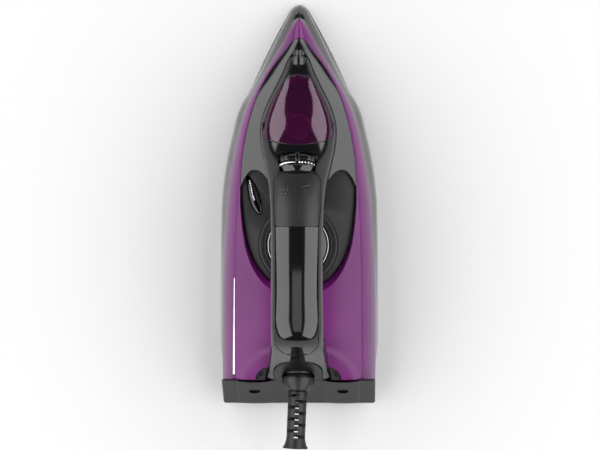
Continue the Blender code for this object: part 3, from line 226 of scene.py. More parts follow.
@dataclass(frozen=True)
class Form:
    """The shapes that neighbouring mouldings share, as rails along the iron."""

    sole: Rail = Rail([
        (130.2, 0), (129.6, 2.2), (128.6, 4), (127, 6), (125, 7.4), (65, 37.8), (52, 43), (35, 48.4),
        (15, 53), (0, 55.4), (-20, 57.4), (-50, 58.6), (-131, 58.8)])
    skirt: Rail = Rail([
        (130, 0), (129.5, 2.0), (128.4, 3.9), (126, 6.0), (123, 7.8), (65, 37.2), (59, 41.4),
        (48, 46.6), (36, 49.7), (18, 53.8), (0, 56.8), (-18, 58.5), (-50, 59.1), (-131, 59.3)])
    housing: Rail = Rail([
        (118.6, 0), (118.2, 1.5), (117, 3.4), (104.3, 10.7), (88, 19.8), (72, 29), (58.2, 36.3),
        (47, 41.3), (30.6, 46.2), (17, 49), (2, 51.7), (-15, 53.9), (-45, 55.8), (-71, 56.9),
        (-106, 57.4), (-151.5, 57.2)])
    crease: Rail = Rail([
        (118.6, 0), (118.2, 0.7), (117, 1.4), (103, 5.0), (97, 9.0), (81, 20.6), (67, 28.6), (56, 33.2),
        (45, 36.6), (30.6, 40.1), (11, 43.0), (-3, 44.0), (-15, 44.8), (-50, 46.2), (-100, 46.8),
        (-151.5, 47)])
    hole: Rail = Rail(RIM + [
        (-30, 42.6), (-49, 40.2), (-65, 35.4), (-77, 28.2), (-85, 19), (-89, 9.6), (-90.3, 0)], 0.6)
    deck: Rail = Rail(RIM + [
        (-30, 41.8), (-49, 38.2), (-63, 32.8), (-74, 25), (-81, 16), (-84.3, 8), (-85.2, 0)], 0.6)
    handle: Rail = Rail([
        (93, 3.4), (89, 6.9), (79, 10.9), (65, 17.5), (56, 22), (44.5, 26.4), (34.3, 28.1), (25, 27.8),
        (15, 26), (7, 24.2), (-8, 21), (-25, 19.4), (-60, 18.9), (-119, 19.4), (-132, 20.6),
        (-143, 22.4), (-151.4, 24.5)], 2.0)
    lid: Rail = Rail([
        (75.3, 6.6), (72, 9.2), (62.7, 15.3), (53.7, 19.8), (44.5, 23.2), (39.5, 24.7), (31, 24.4),
        (27, 22.7), (24.6, 15), (23.2, 6), (23, 0)], 0.3)
    split: Rail = Rail([(118, 17), (100, 20), (60, 23), (0, 24.5), (-100, 24), (-151.5, 22)], 4.0)
    crease_z: Rail = Rail([
        (118.4, 26), (117, 27), (103, 32), (90, 37.5), (70, 43.5), (50, 48.5), (30, 53), (10, 56.3),
        (-20, 59), (-60, 60), (-110, 59.5), (-130, 58.5), (-151.5, 54)], 4.0)
    crown: Rail = Rail([
        (118.4, 26.2), (117, 27.6), (103, 34), (90, 42), (70, 53), (50, 60), (30, 64), (10, 66),
        (-20, 66), (-110, 66), (-130, 64), (-151.5, 57)], 4.0)
    top: Rail = Rail([
        (93, 43), (84, 49), (75, 55.5), (60, 65), (45, 74.5), (30, 84), (20, 91.5), (10, 100.5),
        (2, 108.5), (-6, 116), (-20, 126), (-37, 134), (-60, 139.5), (-80, 140.5), (-105, 137),
        (-117, 131.5), (-124, 124.5), (-127.5, 117.5), (-130, 111.5), (-140, 86.5), (-151.4, 57.9)], 2.0)
    middle: Rail = Rail([
        (93, 38), (75, 47), (60, 54), (45, 60), (30, 67), (15, 79), (2, 94), (-10, 106), (-25, 117),
        (-60, 125), (-105, 123), (-120, 113), (-130, 95), (-140, 72), (-151.4, 54)], 3.0)
    seat: Rail = Rail([(93, 34), (75, 41), (60, 46), (30, 52), (0, 50), (-151.4, 50)], 4.0)
    rear: float = -151.5
    hole_ends: tuple[float, float] = (103.6, -90.3)
    deck_ends: tuple[float, float] = (103.6, -85.2)
    deck_top: float = 54.0
    gap_ends: tuple[float, float] = (-19.0, -121.0)
    gap_top: float = 112.0
    handle_ends: tuple[float, float] = (93.0, -151.4)
    ball: tuple[float, float, float] = (0.0, -151.8, 64.0)
    heel_top: float = 57.0
    heel_lean: float = 0.40
    step_arc: tuple[float, float] = (43.8, 26.0)
    step: float = 1.0

    def body_height(self, x: float, y: float) -> float:
        """Height of the body's upper surface inside its crease, with the low arched step at its rear.

        Args:
            x: Distance from the middle.
            y: The station.

        Returns:
            The height.
        """
        crown, edge = self.crown(y), self.crease_z(y)
        share = min(abs(x) / max(self.crease(y), 0.1), 1.0)
        wide, deep = self.step_arc
        away = math.hypot(x / wide, (y - self.rear) / deep) - 1.0
        lift = self.step / (1 + math.exp(min(away * 80.0, 50.0)))
        return crown - (crown - edge) * share ** 2 + lift

    def heel(self, z: float) -> float:
        """Station of the heel's resting plane at a height."""
        return self.rear - GAP + (z - self.heel_top) * self.heel_lean

    def underside(self, y: float, grow: float = 0.0) -> float:
        """Height of the handle's underside: the top of the finger gap, or its seat in the body.

        Args:
            y: The station.
            grow: How far the gap is widened.

        Returns:
            The height.
        """
        front, rear = self.gap_ends
        share = abs(y - (front + rear) / 2) / ((front - rear) / 2 + grow)
        low = self.seat(y) - (12 if grow else 0)
        if share >= 1:
            return low
        return low + (self.gap_top + grow - low) * (1 - share ** GRIP_POWER) ** (1 / GRIP_POWER)

    def handle_levels(self, y: float, inset: float = 0.0) -> tuple[float, float, float, float]:
        """The handle's main sizes at a station.

        Args:
            y: The station.
            inset: How far it is drawn in.

        Returns:
            Half its width, and the heights of its top, its widest line and its underside.
        """
        top, middle, bottom = self.top(y) - inset, self.middle(y), self.underside(y, inset)
        if bottom > self.seat(y) + 20:
            middle = max(middle, bottom + 0.4 * (top - bottom))
        return self.handle(y) - inset, top, min(middle, top - 1.5), bottom

    def handle_height(self, x: float, y: float) -> float:
        """Height of the handle's upper surface.

        Args:
            x: Distance from the middle.
            y: The station.

        Returns:
            The height.
        """
        width, top, middle, _ = self.handle_levels(y)
        share = min(abs(x) / width, 1.0)
        return middle + (top - middle) * (1 - share ** CROWN_POWER) ** (1 / CROWN_POWER)

    def handle_ring(self, y: float, inset: float = 0.0) -> list[Point]:
        """One cross-section of the handle: an arched top on a squarer lower half.

        Args:
            y: The station.
            inset: How far the section is drawn in.

        Returns:
            The section's points, from the crown round the right side.
        """
        upper, lower = 22, 16
        width, top, middle, bottom = self.handle_levels(y, inset)
        in_gap = min(max((bottom - self.seat(y)) / (self.gap_top - self.seat(y)), 0.0), 1.0)
        power = 2.6 + 6 * (1 - in_gap)
        half = []
        for i in range(upper + 1):
            turn = math.pi / 2 * (1 - i / upper)
            half.append((width * math.cos(turn) ** (2 / CROWN_POWER),
                         middle + (top - middle) * math.sin(turn) ** (2 / CROWN_POWER)))
        for i in range(1, lower + 1):
            turn = math.pi / 2 * i / lower
            half.append((width * max(math.cos(turn), 0.0) ** (2 / power),
                         middle - (middle - bottom) * math.sin(turn) ** (2 / power)))
        half[0], half[-1] = (0.0, half[0][1]), (0.0, half[-1][1])
        return [(x, y, z) for x, z in half] + [(-x, y, z) for x, z in reversed(half[1:-1])]

    def body_ring(self, y: float, inset: float = 0.0) -> list[Point]:
        """One cross-section of the tank's body: crowned top, soft crease, leaning side, and a flat
        bottom.

        Args:
            y: The station.
            inset: How far it is drawn in.

        Returns:
            The section's points, from the crown round the right side.
        """
        outer = max(self.housing(y) - 1.1 * inset, 0.4)
        edge = max(self.crease(y) - 1.1 * inset, 0.3)
        base = self.split(y) if not inset else 5.0
        shares = [1 - (1 - i / 40) ** 1.4 for i in range(41)]
        half = [(s * edge, self.body_height(s * edge, y) - inset) for s in shares]
        high = half[-1][1]
        for i in range(1, 15):
            s = (i / 14) ** 1.25
            bow = 1.3 * math.sin(math.pi * s) * min(1.0, outer / 20)
            half.append((edge + (outer - edge) * s ** 0.8 + bow, high - (high - self.split(y)) * s))
        places = np.array(half)
        for _ in range(3):
            places[1:-1] = (places[:-2] + 2 * places[1:-1] + places[2:]) / 4
        half = [tuple(p) for p in places] + [(outer, base)]
        return [(x, y, z) for x, z in half] + [(-x, y, z) for x, z in reversed(half[1:])]


FORM = Form()


# ------------------------------------------------------------ modelling


def solid(name: str, mesh: bmesh.types.BMesh, closed: bool = True) -> bpy.types.Object:
    """Turns a bmesh in millimetres into an object at the origin, in metres.

    Args:
        name: The object's name.
        mesh: The bmesh, which is freed.
        closed: Whether it is a closed skin, whose faces are made to point outwards.

    Returns:
        The object.
    """
    bmesh.ops.remove_doubles(mesh, verts=mesh.verts, dist=WELD)
    if closed:
        bmesh.ops.recalc_face_normals(mesh, faces=mesh.faces)
    bmesh.ops.scale(mesh, vec=(MM, MM, MM), verts=mesh.verts)
    data = bpy.data.meshes.new(name)
    mesh.to_mesh(data)
    mesh.free()
    made = bpy.data.objects.new(name, data)
    bpy.context.scene.collection.objects.link(made)
    return made


def grid(columns: int, rows: int, place: Callable[[int, int], Point]) -> bmesh.types.BMesh:
    """A sheet of quads whose corners are put where a function says.

    Args:
        columns: Quads across.
        rows: Quads along.
        place: Gives the point of a column and a row.

    Returns:
        The bmesh.
    """
    mesh = bmesh.new()
    bmesh.ops.create_grid(mesh, x_segments=columns, y_segments=rows, size=1.0)
    for vertex in mesh.verts:
        column, row = round((vertex.co.x + 1) / 2 * columns), round((vertex.co.y + 1) / 2 * rows)
        vertex.co = place(column, row)
    return mesh


def close_holes(mesh: bmesh.types.BMesh) -> None:
    """Welds the seams and fills what is still open.

    Args:
        mesh: The bmesh, which is changed.
    """
    bmesh.ops.remove_doubles(mesh, verts=mesh.verts, dist=WELD)
    bmesh.ops.dissolve_degenerate(mesh, edges=mesh.edges, dist=1e-5)
    bmesh.ops.holes_fill(mesh, edges=[e for e in mesh.edges if e.is_boundary], sides=0)


def loft(name: str, rings: list[Sequence[Point]], cyclic: bool = False) -> bpy.types.Object:
    """A closed skin over rings with the same number of points.

    Args:
        name: The object's name.
        rings: The rings in order, each a closed loop of points.
        cyclic: Whether the last ring joins the first, instead of both being capped.

    Returns:
        The object.
    """
    across, along = len(rings[0]), len(rings)
    mesh = grid(across, along if cyclic else along - 1, lambda i, j: rings[j % along][i % across])
    close_holes(mesh)
    return solid(name, mesh)


def prism(name: str, outline: Pairs, low: float | Width, high: float | Width) -> bpy.types.Object:
    """An upright solid over a plan outline, whose ends may follow rails.

    Args:
        name: The object's name.
        outline: Its plan, as a closed loop.
        low: Height of its lower end, or a rail of heights.
        high: Height of its upper end, or a rail of heights.

    Returns:
        The object.
    """

    def level(z: float | Width, y: float) -> float:
        """The height of an end at a station."""
        return z(y) if callable(z) else z

    mesh = bmesh.new()
    bmesh.ops.create_circle(mesh, cap_ends=True, segments=len(outline), radius=1.0)
    mesh.verts.ensure_lookup_table()
    for vertex, (x, y) in zip(mesh.verts, outline):
        vertex.co = (x, y, level(low, y))
    made = bmesh.ops.extrude_face_region(mesh, geom=list(mesh.faces))["geom"]
    for vertex in (v for v in made if isinstance(v, bmesh.types.BMVert)):
        vertex.co.z = level(high, vertex.co.y)
    if callable(low) or callable(high):
        bmesh.ops.triangulate(mesh, faces=[f for f in mesh.faces if len(f.verts) > 4])
    return solid(name, mesh)


def turned(name: str, profile: Pairs, centre: Point, axis: Point = (0, 0, 1), angle: float = math.tau,
           start: float = 0.0, steps: int = 96) -> bpy.types.Object:
    """A turned piece, or a slice of one.

    Args:
        name: The object's name.
        profile: Pairs of radius and distance along the axis, as a closed loop.
        centre: A point on the axis.
        axis: The axis's direction.
        angle: How far round the profile goes.
        start: Where it starts, from the direction that is nearest to up.
        steps: Faces round the whole angle.

    Returns:
        The object.
    """
    along = Vector(axis).normalized()
    up = Vector((0, 0, 1)) - along * along.z
    up = up.normalized() if up.length > 1e-6 else Vector((1, 0, 0))
    out = Matrix.Rotation(start, 3, along) @ up
    mesh = bmesh.new()
    bmesh.ops.create_circle(mesh, cap_ends=False, segments=len(profile), radius=1.0)
    mesh.verts.ensure_lookup_table()
    for vertex, (radius, distance) in zip(mesh.verts, profile):
        vertex.co = Vector(centre) + out * radius + along * distance
    whole = abs(angle - math.tau) < 1e-6
    bmesh.ops.spin(mesh, geom=mesh.verts[:] + mesh.edges[:], cent=Vector(centre), axis=along, angle=angle,
                   steps=steps, use_merge=whole)
    close_holes(mesh)
    return solid(name, mesh)


def rod(name: str, start: Point, end: Point, radius: float, sides: int = 40) -> bpy.types.Object:
    """A plain round rod between two points.

    Args:
        name: The object's name.
        start: The middle of one end.
        end: The middle of the other.
        radius: Half its thickness.
        sides: Faces round it.

    Returns:
        The object.
    """
    along = Vector(end) - Vector(start)
    turn = along.to_track_quat("Z", "Y").to_matrix().to_4x4()
    mesh = bmesh.new()
    bmesh.ops.create_cone(mesh, cap_ends=True, segments=sides, radius1=radius, radius2=radius,
                          depth=along.length,
                          matrix=Matrix.Translation((Vector(start) + Vector(end)) / 2) @ turn)
    return solid(name, mesh)


def block(name: str, centre: Point, size: Point, turn: Matrix | None = None) -> bpy.types.Object:
    """A box.

    Args:
        name: The object's name.
        centre: Its middle.
        size: Its three sides.
        turn: How it is turned about its middle.

    Returns:
        The object.
    """
    mesh = bmesh.new()
    bmesh.ops.create_cube(mesh, size=1.0)
    bmesh.ops.scale(mesh, vec=size, verts=mesh.verts)
    place = Matrix.Translation(centre) @ (turn or Matrix.Identity(4))
    bmesh.ops.transform(mesh, matrix=place, verts=mesh.verts)
    return solid(name, mesh)


def combine(body: bpy.types.Object, tool: bpy.types.Object, join: Join = Join.CUT) -> None:
    """Cuts, joins or crosses a body with another solid.

    Args:
        body: The solid that changes.
        tool: The other solid, which is removed.
        join: How they are combined.
    """
    step = body.modifiers.new("join", "BOOLEAN")
    step.operation, step.solver, step.object = join.value, "EXACT", tool
    graph = bpy.context.evaluated_depsgraph_get()
    graph.update()
    result = bpy.data.meshes.new_from_object(body.evaluated_get(graph))
    body.modifiers.clear()
    body.data = result
    bpy.data.objects.remove(tool)


def twin(source: bpy.types.Object, name: str) -> bpy.types.Object:
    """A second solid of the same shape.

    Args:
        source: The solid to copy.
        name: The copy's name.

    Returns:
        The copy.
    """
    made = bpy.data.objects.new(name, source.data.copy())
    bpy.context.scene.collection.objects.link(made)
    return made


def soften_edges(piece: bpy.types.Object, width: float) -> None:
    """Rounds a piece's sharp edges after its slivers are merged away.

    Args:
        piece: The object.
        width: How far the rounding reaches from each edge, in millimetres.
    """
    mesh = bmesh.new()
    mesh.from_mesh(piece.data)
    bmesh.ops.remove_doubles(mesh, verts=mesh.verts, dist=0.12 * MM)
    bmesh.ops.dissolve_degenerate(mesh, edges=mesh.edges, dist=0.02 * MM)
    sharp = [e for e in mesh.edges if e.is_manifold and e.calc_face_angle(0.0) > math.radians(35)]
    bmesh.ops.bevel(mesh, geom=sharp, offset=width * MM, offset_type="OFFSET", affect="EDGES",
                    segments=3, profile=0.5, material=-1, clamp_overlap=True)
    mesh.to_mesh(piece.data)
    mesh.free()


def smooth(piece: bpy.types.Object, angle: float = 32.0) -> None:
    """Shades a piece smooth, with its sharp edges kept."""
    piece.data.shade_smooth()
    piece.data.set_sharp_from_angle(angle=math.radians(angle))


def wire(name: str, path: Sequence[Point], radius: float) -> bpy.types.Object:
    """A round wire along a path, as a mesh with closed ends.

    Args:
        name: The object's name.
        path: Points along its middle.
        radius: Half its thickness.

    Returns:
        The object.
    """
    places = [Vector(p) for p in path]
    sides = 12
    rings = []
    side = Vector((1, 0, 0))
    for i, here in enumerate(places):
        along = (places[min(i + 1, len(places) - 1)] - places[max(i - 1, 0)]).normalized()
        side = (side - along * side.dot(along)).normalized()
        across = along.cross(side)
        turns = [math.tau * k / sides for k in range(sides)]
        rings.append([here + (side * math.cos(t) + across * math.sin(t)) * radius for t in turns])
    return loft(name, rings)


# ------------------------------------------------------------ finishes


def linear(code: str) -> tuple[float, float, float, float]:
    """A linear colour from an sRGB hex value."""
    parts = [int(code[i:i + 2], 16) / 255 for i in (1, 3, 5)]
    return (*(c / 12.92 if c <= 0.04045 else ((c + 0.055) / 1.055) ** 2.4 for c in parts), 1.0)


def add(tree: bpy.types.NodeTree, kind: str, settings: dict[str, object] | None = None,
        **links: object) -> bpy.types.Node:
    """Adds a shader node.

    Args:
        tree: The material's node tree.
        kind: The node's type, without ShaderNode.
        settings: Values of the node's own properties.
        **links: For each input, by its name with _ for a space: a socket to link, or a value.

    Returns:
        The node.
    """
    made = tree.nodes.new("ShaderNode" + kind)
    for key, value in (settings or {}).items():
        setattr(made, key, value)
    for key, value in links.items():
        socket = made.inputs[key.replace("_", " ")]
        if isinstance(value, bpy.types.NodeSocket):
            tree.links.new(value, socket)
        else:
            socket.default_value = value
    return made


@dataclass(frozen=True)
class Finish:
    """A surface of the iron. Lengths are in millimetres.

    The colour drifts a little between two shades, the gloss varies with the grain, and two scales
    of relief, a long ripple from the mould and a fine grain, bend the light.
    """

    name: str
    slot: str
    colour: str
    shade: str
    roughness: float
    roughness_spread: float = 0.04
    metallic: float = 0.0
    ior: float = 1.5
    coat: float = 0.0
    clear: float = 0.0
    drift_mm: float = 30.0
    ripple_mm: float = 12.0
    ripple_depth: float = 0.0
    grain_mm: float = 0.5
    grain_depth: float = 0.0
    brushed: float = 1.0
    edge_mm: float = 0.35
    specular: float = 0.5

    def material(self) -> bpy.types.Material:
        """Makes the finish as a node material, once.

        Returns:
            The material.
        """
        found = bpy.data.materials.get(self.name)
        if found:
            return found
        made = bpy.data.materials.new(self.name)
        made.use_nodes = True
        tree = made.node_tree
        shader = tree.nodes["Principled BSDF"]
        place = add(tree, "TexCoord").outputs["Object"]
        stretch = add(tree, "Mapping", Vector=place, Scale=(1.0, 1.0 / self.brushed, 1.0)).outputs["Vector"]
        drift = add(tree, "TexNoise", Vector=place, Scale=1000 / self.drift_mm, Detail=3.0, Roughness=0.55)
        ripple = add(tree, "TexNoise", Vector=place, Scale=1000 / self.ripple_mm, Detail=1.0)
        grain = add(tree, "TexNoise", Vector=stretch, Scale=1000 / self.grain_mm, Detail=2.0, Roughness=0.6)
        shades = add(tree, "ValToRGB", Fac=drift.outputs["Fac"])
        for stop, position, code in zip(shades.color_ramp.elements, (0.35, 0.65), (self.colour, self.shade)):
            stop.position, stop.color = position, linear(code)
        gloss = add(tree, "MapRange", Value=grain.outputs["Fac"])
        low, high = self.roughness - self.roughness_spread, self.roughness + self.roughness_spread
        for key, value in (("From Min", 0.3), ("From Max", 0.7), ("To Min", low), ("To Max", high)):
            gloss.inputs[key].default_value = value
        edge = add(tree, "Bevel", {"samples": 6}, Radius=self.edge_mm * MM)
        waves = add(tree, "Bump", Height=ripple.outputs["Fac"], Normal=edge.outputs["Normal"], Strength=1.0,
                    Distance=self.ripple_depth * MM)
        relief = add(tree, "Bump", Height=grain.outputs["Fac"], Normal=waves.outputs["Normal"], Strength=1.0,
                     Distance=self.grain_depth * MM)
        tree.links.new(shades.outputs["Color"], shader.inputs["Base Color"])
        tree.links.new(gloss.outputs["Result"], shader.inputs["Roughness"])
        tree.links.new(relief.outputs["Normal"], shader.inputs["Normal"])
        tree.links.new(waves.outputs["Normal"], shader.inputs["Coat Normal"])
        for key, value in (("Metallic", self.metallic), ("IOR", self.ior), ("Coat Weight", self.coat),
                           ("Coat Roughness", 0.12), ("Transmission Weight", self.clear),
                           ("Specular IOR Level", self.specular)):
            shader.inputs[key].default_value = value
        return made

    def dress(self, piece: bpy.types.Object) -> None:
        """Gives a piece this finish.

        Args:
            piece: The object.
        """
        piece.data.materials.clear()
        piece.data.materials.append(self.material())


# Piano-gloss ABS: near-black, polished in the mould, with a long faint ripple that makes
# reflections waver.
PIANO = Finish("piano-gloss ABS", "gloss_black", "#060607", "#09090b", 0.10, 0.02,
               ripple_mm=16, ripple_depth=0.02, grain_mm=0.6, grain_depth=0.0006)
# The base has the same resin under a clear lacquer, so that it mirrors what it stands on.
LACQUER = Finish("lacquered ABS", "gloss_black", "#060607", "#09090b", 0.12, 0.02, coat=1.0,
                 ripple_mm=20, ripple_depth=0.015)
# Satin ABS: spark-eroded tool, so a fine pebble grain spreads the light to a soft grey.
SATIN = Finish("spark-textured satin ABS", "satin_black", "#0b0b0c", "#0f0f10", 0.36, 0.05, ior=1.38,
               ripple_mm=20, ripple_depth=0.01, grain_mm=0.55, grain_depth=0.02)
# Smoother satin ABS on the handle and the heel, between gloss and grain.
SILK = Finish("silk-moulded ABS", "gloss_black", "#070708", "#0a0a0b", 0.32, 0.03, ior=1.22,
              ripple_mm=18, ripple_depth=0.015, grain_mm=0.6, grain_depth=0.003)
# Tinted polycarbonate of the tank: deep violet all through, with a soft mould polish.
TANK = Finish("violet polycarbonate", "purple", "#541352", "#4b104a", 0.22, 0.015, specular=0.25,
              drift_mm=60, ripple_mm=24, ripple_depth=0.015, grain_mm=0.8, grain_depth=0.0001)
# The lid is the same resin, thin enough to see the tray and the spout through it.
LID = Finish("clear magenta polycarbonate", "purple", "#a3358d", "#972f83", 0.06, 0.01, ior=1.46,
             clear=0.97, drift_mm=60, ripple_mm=20, ripple_depth=0.01)
# Mirror-polished stainless steel of the sole.
STEEL = Finish("polished stainless steel", "steel", "#a3a3a4", "#adadae", 0.16, 0.05, 1.0, grain_mm=0.7,
               grain_depth=0.004, brushed=30.0)
# Die-cast aluminium of the heated casting: a dull, slightly pitted skin straight from the die.
CAST = Finish("die-cast aluminium", "cast_aluminium", "#8e8f91", "#9c9da0", 0.46, 0.08, 1.0, grain_mm=1.1,
              grain_depth=0.05)
# Chrome plated over polished plastic: the ring mirrors everything round it.
CHROME = Finish("bright chrome plate", "chrome", "#9c9ea3", "#94969b", 0.07, 0.02, 1.0, ripple_depth=0.003)
# Drawn brass rod: warm, with fine scratches along the draw.
BRASS = Finish("drawn brass", "brass", "#b08a46", "#a27c3a", 0.28, 0.05, 1.0, grain_mm=0.5, grain_depth=0.004,
               brushed=20.0)
# Flexible PVC of the cord guard: matt, a little greyed, with a fine leathery grain, drawn coarser
# than the real one so that it shows.
RUBBER = Finish("flexible matt PVC", "rubber", "#08080a", "#0d0d0f", 0.4, 0.07, ior=1.35, grain_mm=0.5,
                grain_depth=0.025)
# Injection-moulded clear plastic with a smoky tint, for the tank's floor and the pipes.
SMOKE = Finish("smoky clear plastic", "smoke", "#b4b4ba", "#a9a9b0", 0.12, 0.02, ior=1.49, clear=0.6)
# Undyed moulded nylon: waxy and off-white.
NYLON = Finish("natural nylon", "white_plastic", "#d9d5c8", "#cfcabb", 0.38, 0.05, ior=1.53, grain_mm=0.7,
               grain_depth=0.008)
# Moulded silicone of the seals: brick red and chalky.
SILICONE = Finish("red silicone", "silicone", "#9c3a26", "#8c3020", 0.5, 0.05, ior=1.41, grain_mm=0.8,
                  grain_depth=0.01)
# Extruded wire sleeves in the three mains colours.
WIRES = {
    "wire_live": Finish("brown wire sleeve", "red_wire", "#6e3a20", "#63341d", 0.45, grain_depth=0.004),
    "wire_neutral": Finish("blue wire sleeve", "blue_wire", "#2a4f94", "#264886", 0.45, grain_depth=0.004),
    "wire_earth": Finish("green wire sleeve", "green_wire", "#5d8a2c", "#547e28", 0.45, grain_depth=0.004),
}
# Screen-printed white ink: flat, with a dry edge.
INK = Finish("white print ink", "white_plastic", "#f2f0f4", "#e6e3ea", 0.45, 0.05, grain_mm=0.4,
             grain_depth=0.004)


def finished(piece: bpy.types.Object, finish: Finish, body: str, *nodes: str, angle: float = 32.0) -> None:
    """Shades and dresses a piece, and puts it on its body.

    Args:
        piece: The object.
        finish: Its finish.
        body: The body that it moves with.
        *nodes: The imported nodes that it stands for.
        angle: Edges sharper than this stay sharp.
    """
    smooth(piece, angle)
    finish.dress(piece)
    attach(piece, body)
    if nodes:
        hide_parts(*nodes)
    log.info("%s: %d faces, on %s", piece.name, len(piece.data.polygons), body)


# ------------------------------------------------------------ sole and skirt


@dataclass
class Base:
    """The polished sole with its steam holes, and the black base round the works."""

    skin: float = 1.2
    hole_radius: float = 1.25
    sole_ends: tuple[float, float] = (130.2, -129.5)
    foot_ends: tuple[float, float] = (130.0, -133.0)
    foot_level: float = 3.4
    corner: float = 20.0
    top_corner: float = 8.0
    points: int = 90
    rows: tuple[tuple[float, tuple[float, ...]], ...] = (
        (70, (0,)), (52, (-9, 9)), (34, (-16, 16)), (12, (-20, -7, 7, 20)), (-70, (-24, 24)),
        (-92, (-20, 20)))

    def build(self) -> None:
        """Makes the sole and the skirt."""
        self.sole()
        self.skirt()

    def sole(self) -> None:
        """The thin steel sole, flat below, with a rolled edge and countersunk steam holes."""
        outline = plan(FORM.sole, *self.sole_ends, self.corner, self.points)
        levels = [(1.2, 0.0), (0.35, 0.25), (0.0, 0.75), (0.0, self.skin), (2.0, self.skin)]
        rings = [[(x, y, z) for x, y in grown(outline, -inset)] for inset, z in levels]
        sheet = loft("sole_sheet", rings)
        bore = self.hole_radius
        profile = [(0.0, -0.4), (2.3, -0.4), (2.3, 0.05), (bore, 0.75), (bore, 2.0), (0.0, 2.0)]
        for y, across in self.rows:
            for x in across:
                combine(sheet, turned("steam_hole", profile, (x, y, 0), steps=24))
        finished(sheet, STEEL, "housing", "sole_skin")

    def skirt(self) -> None:
        """The gloss black base: it swells from its foot, then leans in to the tank's lower edge."""
        foot = plan(FORM.skirt, *self.foot_ends, self.corner, self.points)
        top = plan(FORM.housing, 118.6, FORM.rear, self.top_corner, self.points)
        rings = []
        for share in [i / 14 for i in range(15)]:
            ease = share ** 1.5
            swell = 0.55 * math.sin(math.pi * min(share * 1.15, 1.0))
            ring = []
            for (x, y), (a, b) in zip(foot, top):
                low, high = self.foot_level, FORM.split(b) - GAP
                ring.append((x + (a - x) * ease, y + (b - y) * ease, low + (high - low) * share))
            flat = grown([(x, y) for x, y, _ in ring], swell - 0.6 * (1 - min(share * 6, 1.0)) ** 2)
            tame = [min(1.0, (132.0 - y) / 16) for _, y, _ in ring]
            rings.append([(x + (a - x) * k, y + (b - y) * k, z)
                          for (x, y, z), (a, b), k in zip(ring, flat, tame)])
        inner = [widened(ring, -WALL) for ring in (rings[-1], rings[7], rings[0])]
        piece = loft("skirt_moulding", rings + inner, cyclic=True)
        finished(piece, LACQUER, "housing", "base_skirt", angle=50)


# ------------------------------------------------------------ tank, hood, deck


